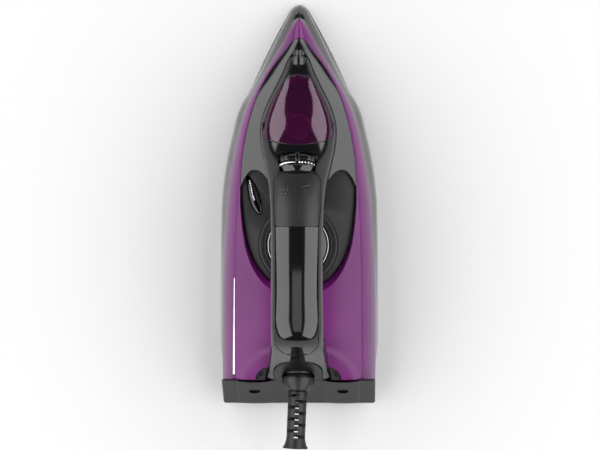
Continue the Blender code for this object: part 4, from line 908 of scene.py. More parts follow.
@dataclass
class Body:
    """The violet tank, the black hood over the nose, the deck behind it, and the small trims on them."""

    arch: Pairs = field(default_factory=lambda: [
        (40, -1.5), (36.5, 3), (33, 4.6), (29, 3.8), (25, 0.5), (21, -4), (12, -6)])
    leaf: Pairs = field(default_factory=lambda: [
        (-38.4, 0.5), (-35.6, -1.9), (-33.2, -5.2), (-30.2, -11.5), (-28.2, -18.5), (-27.4, -24.5),
        (-28.0, -28.2), (-30.4, -27.4), (-33.8, -23.2), (-36.2, -16.0), (-37.6, -8.0)])
    dash_path: Pairs = field(default_factory=lambda: [
        (-36.3, -3.6), (-35.0, -9.5), (-33.6, -15.5), (-31.8, -20.5)])
    dashes: int = 9
    arch_rear: float = -8.0
    nose: float = 118.5
    stripe_ends: tuple[float, float] = (-75.8, -147.3)
    stripe_x: float = -47.6
    recess: Pairs = field(default_factory=lambda: [
        (12.0, 0.0), (53.0, 0.0), (54.2, 0.06), (56, 0.24), (58, 0.5), (60, 0.8), (61.5, 1.0),
        (85, 1.0)])  # heights, and how far the wall has leaned out there
    shaft_y: float = -51.3
    shaft_hole: float = 3.25
    fairing_size: Point = (11.0, 13.6, 8.4)
    fairing_place: Point = (21.5, -151.6, 54.6)
    dimple_size: Point = (1.5, 2.6, 1.2)
    dimple_place: Point = (27.2, -146.4, 61.2)
    dimple_turn: float = math.radians(22)

    def build(self) -> None:
        """Makes the tank and everything set into its top."""
        self.outer = self.form("outer_form")
        self.inner = self.form("inner_form", WALL)
        self.hood()
        self.tank()
        self.deck()
        self.leaf_button()
        self.fairings()
        for spare in (self.outer, self.inner):
            bpy.data.objects.remove(spare)

    def form(self, name: str, inset: float = 0.0) -> bpy.types.Object:
        """The whole body as one closed form, or the same drawn in.

        Args:
            name: The object's name.
            inset: How far it is drawn in.

        Returns:
            The object.
        """
        front, rear = self.nose - 3.2 * inset, FORM.rear + inset
        shares = [i / 230 for i in range(230)]
        stations = [front - (front - rear) * (0.35 * s ** 2 + 0.65 * s) for s in shares] + [rear]
        stations[1:1] = [front - 0.15, front - 0.4]  # the blunt tip turns quickly
        return loft(name, [FORM.body_ring(y, inset) for y in stations])

    def rear_line(self, inset: float) -> Pairs:
        """The hood's rear edge with its two arches.

        Args:
            inset: How far its ends are drawn in.

        Returns:
            Its points, from right to left.
        """
        arch = [(p.x, p.y) for p in dense([(x, y, 0) for x, y in self.arch], 1.0)]
        half = [(FORM.hole(self.arch_rear) - inset, self.arch_rear), *arch]
        return half + [(-x, y) for x, y in reversed(half)]

    def hood_outline(self, inset: float) -> Pairs:
        """The hood's plan outline: the recess's sides, and the two arches at its rear.

        Args:
            inset: How far it is drawn in.

        Returns:
            The outline.
        """
        sides = grown(plan(FORM.hole, *FORM.hole_ends, count=SIDE_POINTS), -inset)
        right = [(x, y) for x, y in sides if x > 0.3 and y > self.arch_rear + 1]
        return right + self.rear_line(inset) + [(-x, y) for x, y in reversed(right)]

    def handle_room(self, name: str, rear: float) -> bpy.types.Object:
        """The handle's footprint as a prism, from the nose back to a station."""
        return prism(name, grown(plan(FORM.handle, FORM.handle_ends[0], rear, count=80), GAP), 20.0, 160.0)

    def foot_room(self, grow: float) -> bpy.types.Object:
        """The footprint of the handle's rear foot as a prism."""
        foot = [(FORM.handle(y) + grow, y) for y in (-120.7, -126, -132, -138, -143, -147, -151, -156)]
        return prism("foot_room", foot + [(-x, y) for x, y in reversed(foot)], 48.0, 90.0)

    def hood(self) -> None:
        """The gloss hood over the nose, with the arched lip at its rear."""
        hood = twin(self.outer, "hood_moulding")
        combine(hood, prism("hood_cut", self.hood_outline(GAP), 15, 90), Join.SHARE)
        edge = [(1.1 * x, y) for x, y in self.rear_line(0.0)]
        band = [(x, y + WALL) for x, y in edge] + [(x, y - 9) for x, y in reversed(edge)]
        hollow = twin(self.inner, "hood_hollow")
        combine(hollow, prism("lip", band, FORM.deck_top + 0.4, 90))
        combine(hood, hollow)
        combine(hood, self.handle_room("bonnet_room", -14.0))
        combine(hood, block("deck_room", (0, -30.5, 27.15), (200, 80, 54.3)))
        combine(hood, prism("leaf_way", grown(self.leaf_curve(), 0.6), 40, 56.6))
        finished(hood, PIANO, "housing", "nose_hood")

    def tank(self) -> None:
        """The tank housing, open below, with the recess whose wall leans in to the deck."""
        tank = twin(self.outer, "housing_moulding")
        rings = []
        for z, share in self.recess:
            deck = plan(FORM.deck, *FORM.deck_ends, count=SIDE_POINTS)
            hole = plan(FORM.hole, *FORM.hole_ends, count=SIDE_POINTS)
            rings.append([(x + (a - x) * share, y + (b - y) * share, z)
                          for (x, y), (a, b) in zip(deck, hole)])
        hollow = twin(self.inner, "tank_hollow")
        curb = [widened(ring, WALL) for ring in rings]
        curb[0] = [(x, y, 49.8) for x, y, _ in curb[0]]
        combine(hollow, loft("curb", curb))
        combine(tank, hollow)
        combine(tank, loft("recess", rings))
        combine(tank, self.foot_room(GAP))
        self.surface = BVHTree.FromPolygons([v.co / MM for v in tank.data.vertices],
                                            [p.vertices[:] for p in tank.data.polygons])
        finished(tank, TANK, "housing", "tank_housing")
        self.stripe()

    def height(self, x: float, y: float) -> float:
        """Height of the finished tank's surface over a plan point."""
        hit = self.surface.ray_cast(Vector((x, y, 100)), Vector((0, 0, -1)))[0]
        return hit.z if hit else FORM.body_height(x, y)

    def stripe(self) -> None:
        """The tapered white line printed along the tank's left shoulder."""
        (front, rear), count = self.stripe_ends, 70

        def place(i: int, j: int) -> Point:
            """A corner of the stripe.

            Args:
                i: Its column: left edge, middle or right edge.
                j: Its row, from the front.

            Returns:
                The point, just over the tank.
            """
            y = front + (rear - front) * j / count
            half = (0.35 + 0.6 * (j / count) ** 1.4) * (i - 1)
            x = self.stripe_x - 0.7 * j / count + half
            return (x, y, self.height(x, y) + 0.06)

        mesh = grid(2, count, place)
        bmesh.ops.solidify(mesh, geom=mesh.faces[:], thickness=0.05)
        finished(solid("side_stripe", mesh), INK, "housing")

    def leaf_curve(self) -> Pairs:
        """The leaf-shaped button's outline."""
        return [(p.x, p.y) for p in dense([(x, y, 0) for x, y in self.leaf], 1.0, close=True)]

    def deck(self) -> None:
        """The satin deck round the dial, with its edge eased and a pocket for the leaf button."""
        outline = grown(plan(FORM.deck, *FORM.deck_ends, count=SIDE_POINTS), -GAP)
        top = FORM.deck_top
        levels = [(0.0, top - 2.2), (0.0, top - 0.5), (0.15, top - 0.15), (0.5, top)]
        deck = loft("deck_moulding", [[(x, y, z) for x, y in grown(outline, -inset)] for inset, z in levels])
        combine(deck, block("deck_end", (0, 108.5, top), (200, 200, 20)))
        combine(deck, self.handle_room("pillar_room", -19.3))
        combine(deck, rod("shaft_hole", (0, self.shaft_y, 40), (0, self.shaft_y, 60), self.shaft_hole))
        combine(deck, prism("leaf_hole", grown(self.leaf_curve(), 0.55), 40, 60))
        finished(deck, SATIN, "housing", "control_deck")

    def leaf_button(self) -> None:
        """The leaf-shaped clean button: a crowned cap with eased edges and a row of raised dashes."""
        outline = self.leaf_curve()
        top = FORM.deck_top + 1.0
        levels = [(0.0, 51.0), (0.0, top - 0.6), (0.12, top - 0.2), (0.4, top + 0.05),
                  (1.0, top + 0.25), (2.2, top + 0.45)]
        key = loft("clean_key", [[(x, y, z) for x, y in grown(outline, -inset)] for inset, z in levels])
        finished(key, PIANO, "clean", "clean_button", angle=60)
        curve = dense([(x, y, 0) for x, y in self.dash_path], 0.2)
        step = len(curve) // self.dashes
        marks = None
        for i in range(self.dashes):
            here, ahead = curve[i * step], curve[i * step + 2]
            turn = Matrix.Rotation(math.atan2((ahead - here).y, (ahead - here).x), 4, "Z")
            long = 1.5 if i % 3 == 1 else 0.9
            dash = block("clean_marks", (here.x, here.y, top + 0.42), (long, 0.8, 0.24), turn)
            if marks is None:
                marks = dash
            else:
                combine(marks, dash, Join.ADD)
        finished(marks, INK, "clean")

    def fairings(self) -> None:
        """The two small fairings beside the handle's rear foot, each with an oval dimple."""
        for name, side in (("left", -1), ("right", 1)):
            dome = bmesh.new()
            bmesh.ops.create_uvsphere(dome, u_segments=72, v_segments=36, radius=1.0)
            x, y, z = self.fairing_place
            bmesh.ops.scale(dome, vec=self.fairing_size, verts=dome.verts)
            bmesh.ops.translate(dome, vec=(side * x, y, z), verts=dome.verts)
            piece = solid("fairing_" + name, dome)
            below = twin(self.outer, "below")
            below.data.transform(Matrix.Translation((0, 0, GAP * MM)))
            combine(piece, below)
            combine(piece, block("under", (0, -151, 24), (200, 60, 57)))
            combine(piece, block("behind", (0, -171.2, 50), (200, 40, 60)))
            combine(piece, self.foot_room(2 * GAP))
            dimple = bmesh.new()
            bmesh.ops.create_uvsphere(dimple, u_segments=32, v_segments=16, radius=1.0)
            x, y, z = self.dimple_place
            bmesh.ops.scale(dimple, vec=self.dimple_size, verts=dimple.verts)
            turn = Matrix.Rotation(side * self.dimple_turn, 4, "Z")
            bmesh.ops.transform(dimple, matrix=Matrix.Translation((side * x, y, z)) @ turn,
                                verts=dimple.verts)
            combine(piece, solid("dimple", dimple))
            finished(piece, SILK, "housing", "rear_fairing_" + name, angle=40)


# ------------------------------------------------------------ handle


@dataclass
class Handle:
    """The handle's shell, and the cover, buttons, lid, nozzle and knob that are let into it."""

    button_half: float = 17.2
    button_ends: tuple[float, float] = (0.8, -37.4)
    cover_half: float = 15.6
    cover_rear: float = -131.5
    cover_round: float = 11.0
    cover_depth: float = 9.0
    button_depth: float = 7.5
    window_gap: float = GAP + 0.1
    lid_gap: float = 0.4
    lid_notch: float = 5.0
    nozzle_seat: float = 6.1
    socket: float = 12.7
    pin_half: float = 5.8
    pin_radius: float = 0.5
    pin_drop: float = 0.6
    knob_radius: float = 15.0
    knob_length: float = 18.0
    knob_tilt: float = math.radians(38)
    knob_half: float = math.radians(75)
    knob_turn: float = math.radians(25)
    knob_proud: float = 1.6

    def build(self) -> None:
        """Makes the handle and what is set into it."""
        self.shell()
        self.nozzle()
        self.knob()
        self.icons()

    def form(self, name: str, inset: float = 0.0) -> bpy.types.Object:
        """The whole handle with its bonnet and its rear spine, or the same drawn in.

        Args:
            name: The object's name.
            inset: How far it is drawn in.

        Returns:
            The object.
        """
        (front, rear), (tip, end) = FORM.gap_ends, FORM.handle_ends
        middle, half = (front + rear) / 2, (front - rear) / 2 + inset
        gap = [middle + half * math.sin(math.pi / 2 * s) for s in np.linspace(1, -1, 61)]
        nose = list(np.linspace(tip - inset, middle + half + 1.2, 64))
        spine = list(np.linspace(middle - half - 1.0, end + inset, 22))
        return loft(name, [FORM.handle_ring(y, inset) for y in nose + gap + spine])

    def button_outline(self, grow: float, inner: float | None = None) -> Pairs:
        """The right-hand button's plan outline, or both buttons' common window.

        Args:
            grow: How far the outline is moved outwards.
            inner: The button's inner edge, or None for the window.

        Returns:
            The outline.
        """
        front, rear = self.button_ends[0] + grow, self.button_ends[1] - grow
        half, corner, heel = self.button_half + grow, 6.5, 2.2
        turns = [math.pi / 2 * k / 10 for k in range(11)]
        bend = [(half - 1.0 - heel + heel * math.cos(t), rear + heel - heel * math.sin(t))
                for t in reversed(turns)]
        right = [(half, rear + 14), (half, front - corner)]
        right += [(half - corner + corner * math.cos(t), front - corner + corner * math.sin(t))
                  for t in turns[1:]]
        half_line = bend + right
        if inner is None:
            return half_line + [(-x, y) for x, y in reversed(half_line)]
        return [*half_line, (inner, front + 0.1), (inner, rear)]

    def lid_outline(self, grow: float, notch: float = 0.0) -> Pairs:
        """The water lid's plan outline with its finger tabs, or its window.

        Args:
            grow: How far the outline is moved outwards.
            notch: How much longer the notches are that the tabs swing through.

        Returns:
            The outline.
        """
        tab = [(34.6 + notch, 24.7), (34.0 + notch, 26.0), (29.4, 26.0), (27.6, 24.6)]
        stations = (71.6, 69.6, 67.6, 65.4, 62.7, 59.7, 56.7, 53.7, 50.6, 47.6, 44.5, 41.5)
        nose = ((0.6, 75.3), (2.6, 75.2), (4.6, 74.8), (6.2, 74.2), (7.5, 73.4))
        rear = ((21.2, 26.2), (17.8, 25.2), (14.0, 24.3), (9.0, 23.5), (4.5, 23.1))
        right = [(x, y + grow) for x, y in nose]
        right += [(FORM.lid(y) + grow, y) for y in stations]
        right += [(x + grow, y) for y, x in tab]
        right += [(x, y - grow) for x, y in rear]
        return right + [(-x, y) for x, y in reversed(right)]

    def cover_outline(self) -> Pairs:
        """The grip cover's plan outline: straight sides and a rounded rear end.

        Returns:
            The outline.
        """
        reach, straight = self.cover_round, self.cover_rear + self.cover_round
        side = [(self.cover_half, y) for y in np.linspace(self.button_ends[1] - GAP, straight, 34)]
        turns = [math.pi / 2 * k / 14 for k in range(1, 14)]
        side += [(self.cover_half * math.cos(t) ** 0.8, straight - reach * math.sin(t)) for t in turns]
        return side + [(-x, y) for x, y in reversed(side)]

    @staticmethod
    def under(depth: float) -> Width:
        """A rail of heights at a depth under the crown."""
        return lambda y: FORM.top(y) - depth

    def shell(self) -> None:
        """The shell, and the grip cover, the buttons and the lid cut from the same form."""
        shell = self.form("handle_moulding")
        combine(shell, self.form("handle_inner", WALL))
        window = self.cover_outline()
        cover = twin(shell, "grip_cover_moulding")
        combine(cover, prism("cover_cut", window, self.under(self.cover_depth), ABOVE), Join.SHARE)
        buttons = {}
        for kind, side in (("steam", 1), ("spray", -1)):
            outline = [(side * x, y) for x, y in self.button_outline(0.0, GAP / 2)]
            cutter = prism("button_cut", outline, self.under(self.button_depth), ABOVE)
            buttons[kind] = twin(shell, kind + "_key")
            combine(buttons[kind], cutter, Join.SHARE)
        lid = twin(shell, "lid_moulding")
        combine(lid, prism("lid_cut", self.lid_outline(0.0), 20, ABOVE), Join.SHARE)
        self.windows(shell, window)
        self.pin(shell, lid)
        finished(shell, PIANO, "housing", "handle_shell")
        finished(cover, PIANO, "housing", "handle_cover")
        finished(lid, LID, "lid", "fill_lid")
        for kind, piece in buttons.items():
            finished(piece, SATIN, kind, kind + "_button")

    def windows(self, shell: bpy.types.Object, cover: Pairs) -> None:
        """Cuts the shell's windows and seats.

        Args:
            shell: The handle's shell.
            cover: The grip cover's outline.
        """
        z, top = centre_of("nozzle_body").z, ABOVE + 1
        buttons = self.button_outline(self.window_gap)
        combine(shell, prism("cover_window", grown(cover, self.window_gap),
                             self.under(self.cover_depth + 1), top))
        combine(shell, prism("button_window", buttons, self.under(self.button_depth + 5), top))
        combine(shell, prism("lid_window", self.lid_outline(self.lid_gap, self.lid_notch), 45, top))
        combine(shell, self.knob_room())
        combine(shell, rod("nozzle_seat", (0, 72, z), (0, 100, z), self.nozzle_seat))
        combine(shell, tongue("tongue_room", GAP, 20.0, WALL + 2))
        ball = bmesh.new()
        bmesh.ops.create_uvsphere(ball, u_segments=48, v_segments=24, radius=self.socket)
        bmesh.ops.translate(ball, vec=FORM.ball, verts=ball.verts)
        combine(shell, solid("socket_room", ball))

    def pin(self, shell: bpy.types.Object, lid: bpy.types.Object) -> None:
        """Bores the shell and the lid for the lid's pin, and makes the pin.

        Args:
            shell: The handle's shell.
            lid: The water lid.
        """
        hinge = centre_of("lid_hinge_pin") - Vector((0, 0, self.pin_drop))
        reach = Vector((self.pin_half + 0.2, 0, 0))
        for piece, radius in ((shell, 0.7), (lid, 1.25)):
            combine(piece, rod("pin_bore", hinge - reach, hinge + reach, radius, 24))
        half = Vector((self.pin_half, 0, 0))
        pin = rod("lid_pivot_pin", hinge - half, hinge + half, self.pin_radius, 24)
        finished(pin, STEEL, "housing", "lid_hinge_pin")

    def knob_frame(self) -> tuple[Vector, Vector, Vector]:
        """Where the steam knob sits.

        Returns:
            Its middle, its axis, which points forward and down, and the way up from it.
        """
        axis = Vector((0, math.cos(self.knob_tilt), -math.sin(self.knob_tilt)))
        up = Vector((0, math.sin(self.knob_tilt), math.cos(self.knob_tilt)))
        crown = Vector((0, 10.2, FORM.top(10.2)))
        return crown - up * (self.knob_radius - self.knob_proud), axis, up

    def knob_room(self) -> bpy.types.Object:
        """The window that the knob rocks in.

        Returns:
            The solid to cut with.
        """
        middle, axis, _ = self.knob_frame()
        half, reach = self.knob_length / 2 + 0.6, self.knob_radius + 3.5
        angle = 2 * (self.knob_half + self.knob_turn)
        profile = [(0.0, -half), (reach, -half), (reach, half), (0.0, half)]
        return turned("knob_room", profile, middle, axis, angle, -angle / 2, 60)

    def knob(self) -> None:
        """The steam knob: a stepped saddle with a cap, a groove, a ring for the scale, and a tab."""
        middle, axis, up = self.knob_frame()
        r, half = self.knob_radius, self.knob_length / 2
        profile = [(4.0, -half), (r - 1.1, -half), (r - 0.7, -half + 0.3), (r - 0.6, -half + 0.8),
                   (r - 0.6, -4.2), (r - 0.2, -3.9), (r, -3.5), (r, -0.6), (r - 0.15, -0.3),
                   (r - 1.3, -0.1), (r - 1.3, 0.9), (r - 0.3, 1.1), (r, 1.5), (r, 4.6),
                   (r - 0.5, 5.4), (r - 2.4, half - 0.5), (r - 3.0, half), (4.0, half)]
        angle = 2 * self.knob_half
        knob = turned("regulator_knob", profile, middle, axis, angle, -angle / 2, 90)
        for vertex in knob.data.vertices:
            away = vertex.co / MM - middle
            along = away.dot(axis)
            skin = away - axis * along
            share = min(max((along + half) / 5.0, 0.0), 1.0)
            vertex.co = (middle + away + skin * share * (self.squareness(skin, up) - 1)) * MM
        tilt = axis.to_track_quat("Y", "Z").to_matrix().to_4x4()
        tab = block("tab", middle + up * (r + 0.35) + axis * 2.0, (3.0, 8.4, 2.6), tilt)
        soften_edges(tab, 0.7)
        combine(knob, tab, Join.ADD)
        finished(knob, PIANO, "knob", "steam_knob", angle=25)
        self.scale(middle, axis, r)

    @staticmethod
    def squareness(away: Vector, up: Vector) -> float:
        """How much farther out a flattened drum's skin is than a round one's.

        Args:
            away: A direction from the drum's axis.
            up: The direction that the drum is flattened across.

        Returns:
            The ratio of the two.
        """
        high = abs(away.dot(up)) / max(away.length, 1e-6)
        side = math.sqrt(max(1 - high * high, 0.0))
        return (high ** 3.2 + side ** 3.2) ** (-1 / 3.2)

    def scale(self, middle: Vector, axis: Vector, radius: float) -> None:
        """The white scale round the knob: a wedge on the left, and dots that shrink to the right.

        Args:
            middle: The knob's middle.
            axis: Its axis.
            radius: Its radius.
        """

        def place(t: float, s: float, lift: float) -> Vector:
            """A point on or over the knob's skin.

            Args:
                t: The angle round the axis.
                s: The distance along it.
                lift: The height over the skin.

            Returns:
                The point.
            """
            up = (Vector((0, 0, 1)) - axis * axis.z).normalized()
            out = Matrix.Rotation(t, 3, axis) @ up
            return middle + out * (radius * self.squareness(out, up) + lift) + axis * s

        steps, line = 24, -2.0  # of the wedge, and where the scale lies along the axis
        wedge = grid(steps, 1, lambda i, j: place(
            math.radians(-4 - 58 * i / steps), line + (j - 0.5) * (0.3 + 1.5 * i / steps), 0.04))
        bmesh.ops.solidify(wedge, geom=wedge.faces[:], thickness=0.05)
        finished(solid("scale_wedge", wedge), INK, "knob")
        dots = bmesh.new()
        for i in range(7):
            t = math.radians(6 + 8.0 * i)
            size = 0.75 - 0.05 * i
            here = place(t, line, 0.0)
            out = place(t, line, 1.0) - here
            turn = Matrix.Translation(here) @ out.to_track_quat("Z", "Y").to_matrix().to_4x4()
            bmesh.ops.create_cone(dots, cap_ends=True, segments=16, radius1=size, radius2=size,
                                  depth=0.16, matrix=turn)
        finished(solid("scale_dots", dots), INK, "knob")

    def nozzle(self) -> None:
        """The spray nozzle in the bonnet's tip: two polished steps and a bored jet."""
        low, high = (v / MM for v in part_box("nozzle_body"))
        z = (low.z + high.z) / 2
        body = [(0.0, 0.0), (5.7, 0.0), (5.7, 4.6), (5.45, 5.3), (4.9, 5.7), (4.3, 5.8), (4.1, 6.2),
                (3.9, 6.6), (0.0, 6.6)]
        step = turned("nozzle_step", body, (0, low.y, z), (0, 1, 0), steps=64)
        finished(step, PIANO, "housing", "nozzle_body")
        tip_low, tip_high = (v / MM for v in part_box("nozzle_tip"))
        long = tip_high.y - tip_low.y
        tip = [(0.6, 0.0), (3.0, 0.0), (3.0, long - 1.6), (2.7, long - 0.7), (2.1, long),
               (1.2, long), (0.6, long - 0.5)]
        jet = turned("nozzle_jet", tip, (0, tip_low.y, z), (0, 1, 0), steps=48)
        finished(jet, PIANO, "housing", "nozzle_tip")

    def icons(self) -> None:
        """Raised marks on the two buttons: a fall of drops on the left, and a curl of steam on the right."""
        drops, height = bmesh.new(), FORM.handle_height
        for y, shifts in ((-10.0, (-3.0, 0.0, 3.0)), (-13.0, (-1.5, 1.5)), (-16.0, (0.0,))):
            for x in (-9.6 + shift for shift in shifts):
                here = Vector((x, y, height(x, y) + 0.05))
                drop = bmesh.ops.create_uvsphere(drops, u_segments=14, v_segments=8, radius=0.85)
                for vertex in drop["verts"]:
                    side, along, up = vertex.co
                    pull = 1.0 + 0.9 * max(along, 0.0)
                    vertex.co = here + Vector((side / pull, along * 1.35, up * 0.3))
                    vertex.co.z += height(vertex.co.x, vertex.co.y) - height(x, y)
        finished(solid("spray_mark", drops), PIANO, "spray")
        curls = [[(x + 0.8 * math.sin(t * 4.2 + k), -10.2 - 4.6 * t, 0) for t in np.linspace(0, 1, 9)]
                 for k, x in enumerate((5.4, 8.0, 10.6))]
        puff = [(8.0 + 4.4 * math.cos(t), -10.0 + 1.9 * math.sin(t) + 0.7 * abs(math.sin(1.5 * t)), 0)
                for t in np.linspace(0.2, math.pi - 0.2, 12)]
        paths = [[(p.x, p.y, height(p.x, p.y) + 0.1) for p in dense(curve, 0.5)]
                 for curve in (*curls, puff)]
        mark = wire("steam_mark", paths[0], 0.32)
        for path in paths[1:]:
            combine(mark, wire("curl", path, 0.32), Join.ADD)
        finished(mark, PIANO, "steam")


def tongue(name: str, grow: float, outward: float, inward: float) -> bpy.types.Object:
    """The heel's tongue, an arch round the cord's socket that lies in the heel's plane.

    Args:
        name: The object's name.
        grow: How far its outline is moved outwards.
        outward: How far it stands out from the heel's plane.
        inward: How deep it reaches behind the plane.

    Returns:
        The object.
    """
    half, low, high = 18.0 + grow, 51.0, 96.0 + grow
    turns = [math.pi / 2 * k / 16 for k in range(16)]
    right = [(half, low), *((half, z) for z in np.linspace(56, 69, 5))]
    right += [(half * math.cos(t), 70.0 + (high - 70.0) * math.sin(t)) for t in turns]
    outline = right + [(-x, z) for x, z in reversed(right)]
    return loft(name, [[(x, FORM.heel(z) + away, z) for x, z in outline] for away in (-outward, inward)])


# ------------------------------------------------------------ dial


@dataclass
class Dial:
    """The thermostat dial: a ribbed satin rim, a bright ring and a domed gloss cap."""

    radius: float = 30.0
    rim_width: float = 8.5
    top: float = 63.5
    cap_top: float = 69.0
    bore: float = 3.2
    ribs: int = 72
    rib_depth: float = 0.35

    def build(self) -> None:
        """Makes the dial's pieces on the shaft's axis."""
        x, y = centre_of("thermostat_dial").xy
        place, low, cap = (x, y, 0), FORM.deck_top + GAP, self.radius - self.rim_width
        r, top = self.radius, self.top
        profile = [(self.bore, low), (r - 1, low), (r - 0.3, low + 0.5), (r, low + 1.2),
                   (r, top - 2.4), (r - 0.35, top - 1.2), (r - 1.2, top - 0.3), (r - 2.4, top),
                   (cap + 4.2, top - 0.3), (cap + 3, top - 0.6), (cap + 2.2, top - 1.4),
                   (cap + 2.0, top - 2.5), (self.bore, top - 2.5)]
        rim = turned("dial_rim", profile, place, steps=self.ribs * 4)
        for vertex in rim.data.vertices:
            away = Vector((vertex.co.x / MM - x, vertex.co.y / MM - y))
            if away.length > r - 0.2:
                dent = self.rib_depth * (0.5 + 0.5 * math.cos(self.ribs * math.atan2(away.y, away.x)))
                vertex.co.xy = (Vector((x, y)) + away * (1 - dent / away.length)) * MM
        finished(rim, SATIN, "dial", "thermostat_dial")
        base = top - 2.2
        ring = [(cap + 0.3, base), (cap + 1.1, base), (cap + 1.1, top + 0.3),
                (cap + 0.95, top + 0.6), (cap + 0.6, top + 0.7), (cap + 0.3, top + 0.5)]
        finished(turned("dial_ring", ring, place, steps=128), CHROME, "dial", "dial_trim_ring")
        brow, rise = top + 1.6, self.cap_top - top - 1.6
        dome = [(self.bore, base), (cap, base), (cap, brow)]
        for k in range(1, 14):
            t = math.pi / 2 * k / 14
            dome.append((cap * math.cos(t) ** 0.75, brow + rise * math.sin(t)))
        dome += [(0.0, brow + rise), (0.0, self.cap_top - 4), (self.bore, self.cap_top - 4)]
        finished(turned("dial_dome", dome, place, steps=128), PIANO, "dial", "dial_cap", angle=60)
        self.marks(x, y, r)

    def marks(self, x: float, y: float, radius: float) -> None:
        """White heat marks on the rim, in groups of one, two and three dots.

        Args:
            x: The shaft's place across the iron.
            y: Its station.
            radius: The dial's radius.
        """
        mesh = bmesh.new()
        for group, count in ((math.radians(-20), 1), (math.radians(10), 2), (math.radians(40), 3)):
            for k in range(count):
                t = group + math.radians(5.0) * (k - (count - 1) / 2) + math.pi / 2
                reach = radius - 3.6
                here = (x + reach * math.cos(t), y + reach * math.sin(t), self.top - 0.02)
                bmesh.ops.create_cone(mesh, cap_ends=True, segments=16, radius1=0.7, radius2=0.7,
                                      depth=0.2, matrix=Matrix.Translation(here))
        finished(solid("dial_marks", mesh), INK, "dial")


# ------------------------------------------------------------ heel and cord outlet


@dataclass
class Heel:
    """The heel that the iron stands on, with its tongue round the cord's socket."""

    foot: float = 10.0
    half: float = 57.2
    face_half: float = 55.2
    corner: float = 2.0
    screw: tuple[float, float] = (33.0, 38.0)
    pads: tuple[float, float] = (21.0, 45.0)
    pad_height: float = 0.6
    socket: float = 12.3

    def swell(self, x: float, z: float) -> float:
        """How far the heel's face stands out: its two pads, which fade towards the foot."""
        return self.crowned(x) * min(max((z - self.foot) / 5.0, 0.0), 1.0) ** 0.5

    def crowned(self, x: float) -> float:
        """How far the pads stand out.

        Args:
            x: Distance from the middle.

        Returns:
            The height of the face over its plane.
        """
        inner, outer = self.pads
        across = abs(x)
        if across < inner - 1.2:
            return 0.0
        if across < inner:
            return self.pad_height * (across - inner + 1.2) / 1.2
        if across < outer:
            share = (across - (inner + outer) / 2) / ((outer - inner) / 2)
            return self.pad_height + 1.0 * (1 - share ** 2)
        return self.pad_height * (1 - min((across - outer) / 0.8, 1.0))

    def build(self) -> None:
        """Makes the heel's cover."""
        rims = [side * x for side in (-1, 1) for x in (19.8, 20.4, 21, 45, 45.4, 45.8)]
        even = np.linspace(-self.face_half, self.face_half, 111)
        across = sorted({round(float(x), 3) for x in (*even, *rims)})
        edge = FORM.rear - GAP

        def row(z: float, depth_share: float, level: float) -> list[Point]:
            """One line across the heel.

            Args:
                z: The height at which the face's shape is taken.
                depth_share: How much of its depth behind the tank is kept.
                level: The height that its points get.

            Returns:
                Its points, from left to right.
            """
            plane, bend = FORM.heel(z), self.corner
            turns = [math.pi / 2 * k / 8 for k in range(8, -1, -1)]
            face = plane - self.swell(self.face_half, z)
            corner = [(self.face_half + bend * math.sin(t), face + bend * (1 - math.cos(t))) for t in turns]
            corner = [(self.half, max(edge, corner[0][1])), *corner]
            middle = [(x, plane - self.swell(x, z)) for x in across[1:-1]]
            whole = [(-x, y) for x, y in corner] + middle + corner[::-1]
            return [(x, edge + (min(y, edge) - edge) * depth_share, level) for x, y in whole]

        rows = [row(FORM.heel_top, 1.0, FORM.heel_top - 0.2)]
        rows += [row(z, 1.0, z) for z in np.linspace(FORM.heel_top - 0.8, self.foot + 2.0, 30)]
        rows += [row(z, 1.0, z) for z in (self.foot + 1.0, self.foot + 0.4)]
        rows.append([(x, y + 0.25, z) for x, y, z in row(self.foot, 1.0, self.foot)])
        rows += [row(self.foot, 1 - s, self.foot + 8.0 * s) for s in (0.25, 0.5, 0.75, 1.0)]
        mesh = grid(len(rows[0]) - 1, len(rows) - 1, lambda i, j: rows[j][i])
        close_holes(mesh)
        heel = solid("heel_moulding", mesh)
        combine(heel, tongue("tongue_body", 0.0, 0.0, WALL), Join.ADD)
        ball = Vector(FORM.ball)
        reach = Vector((0, 14, 0))
        combine(heel, rod("socket", ball - reach, ball + reach, self.socket, 72))
        out = Vector((0, -1, FORM.heel_lean)).normalized()
        x, z = self.screw
        for side in (-1, 1):
            head = Vector((side * x, FORM.heel(z), z))
            combine(heel, rod("screw_well", head + out * 6, head - out * 1.2, 4.3, 40))
            combine(heel, rod("screw_bore", head + out * 6, head - out * 16, 2.3, 24))
        finished(heel, SILK, "housing", "heel_cover")


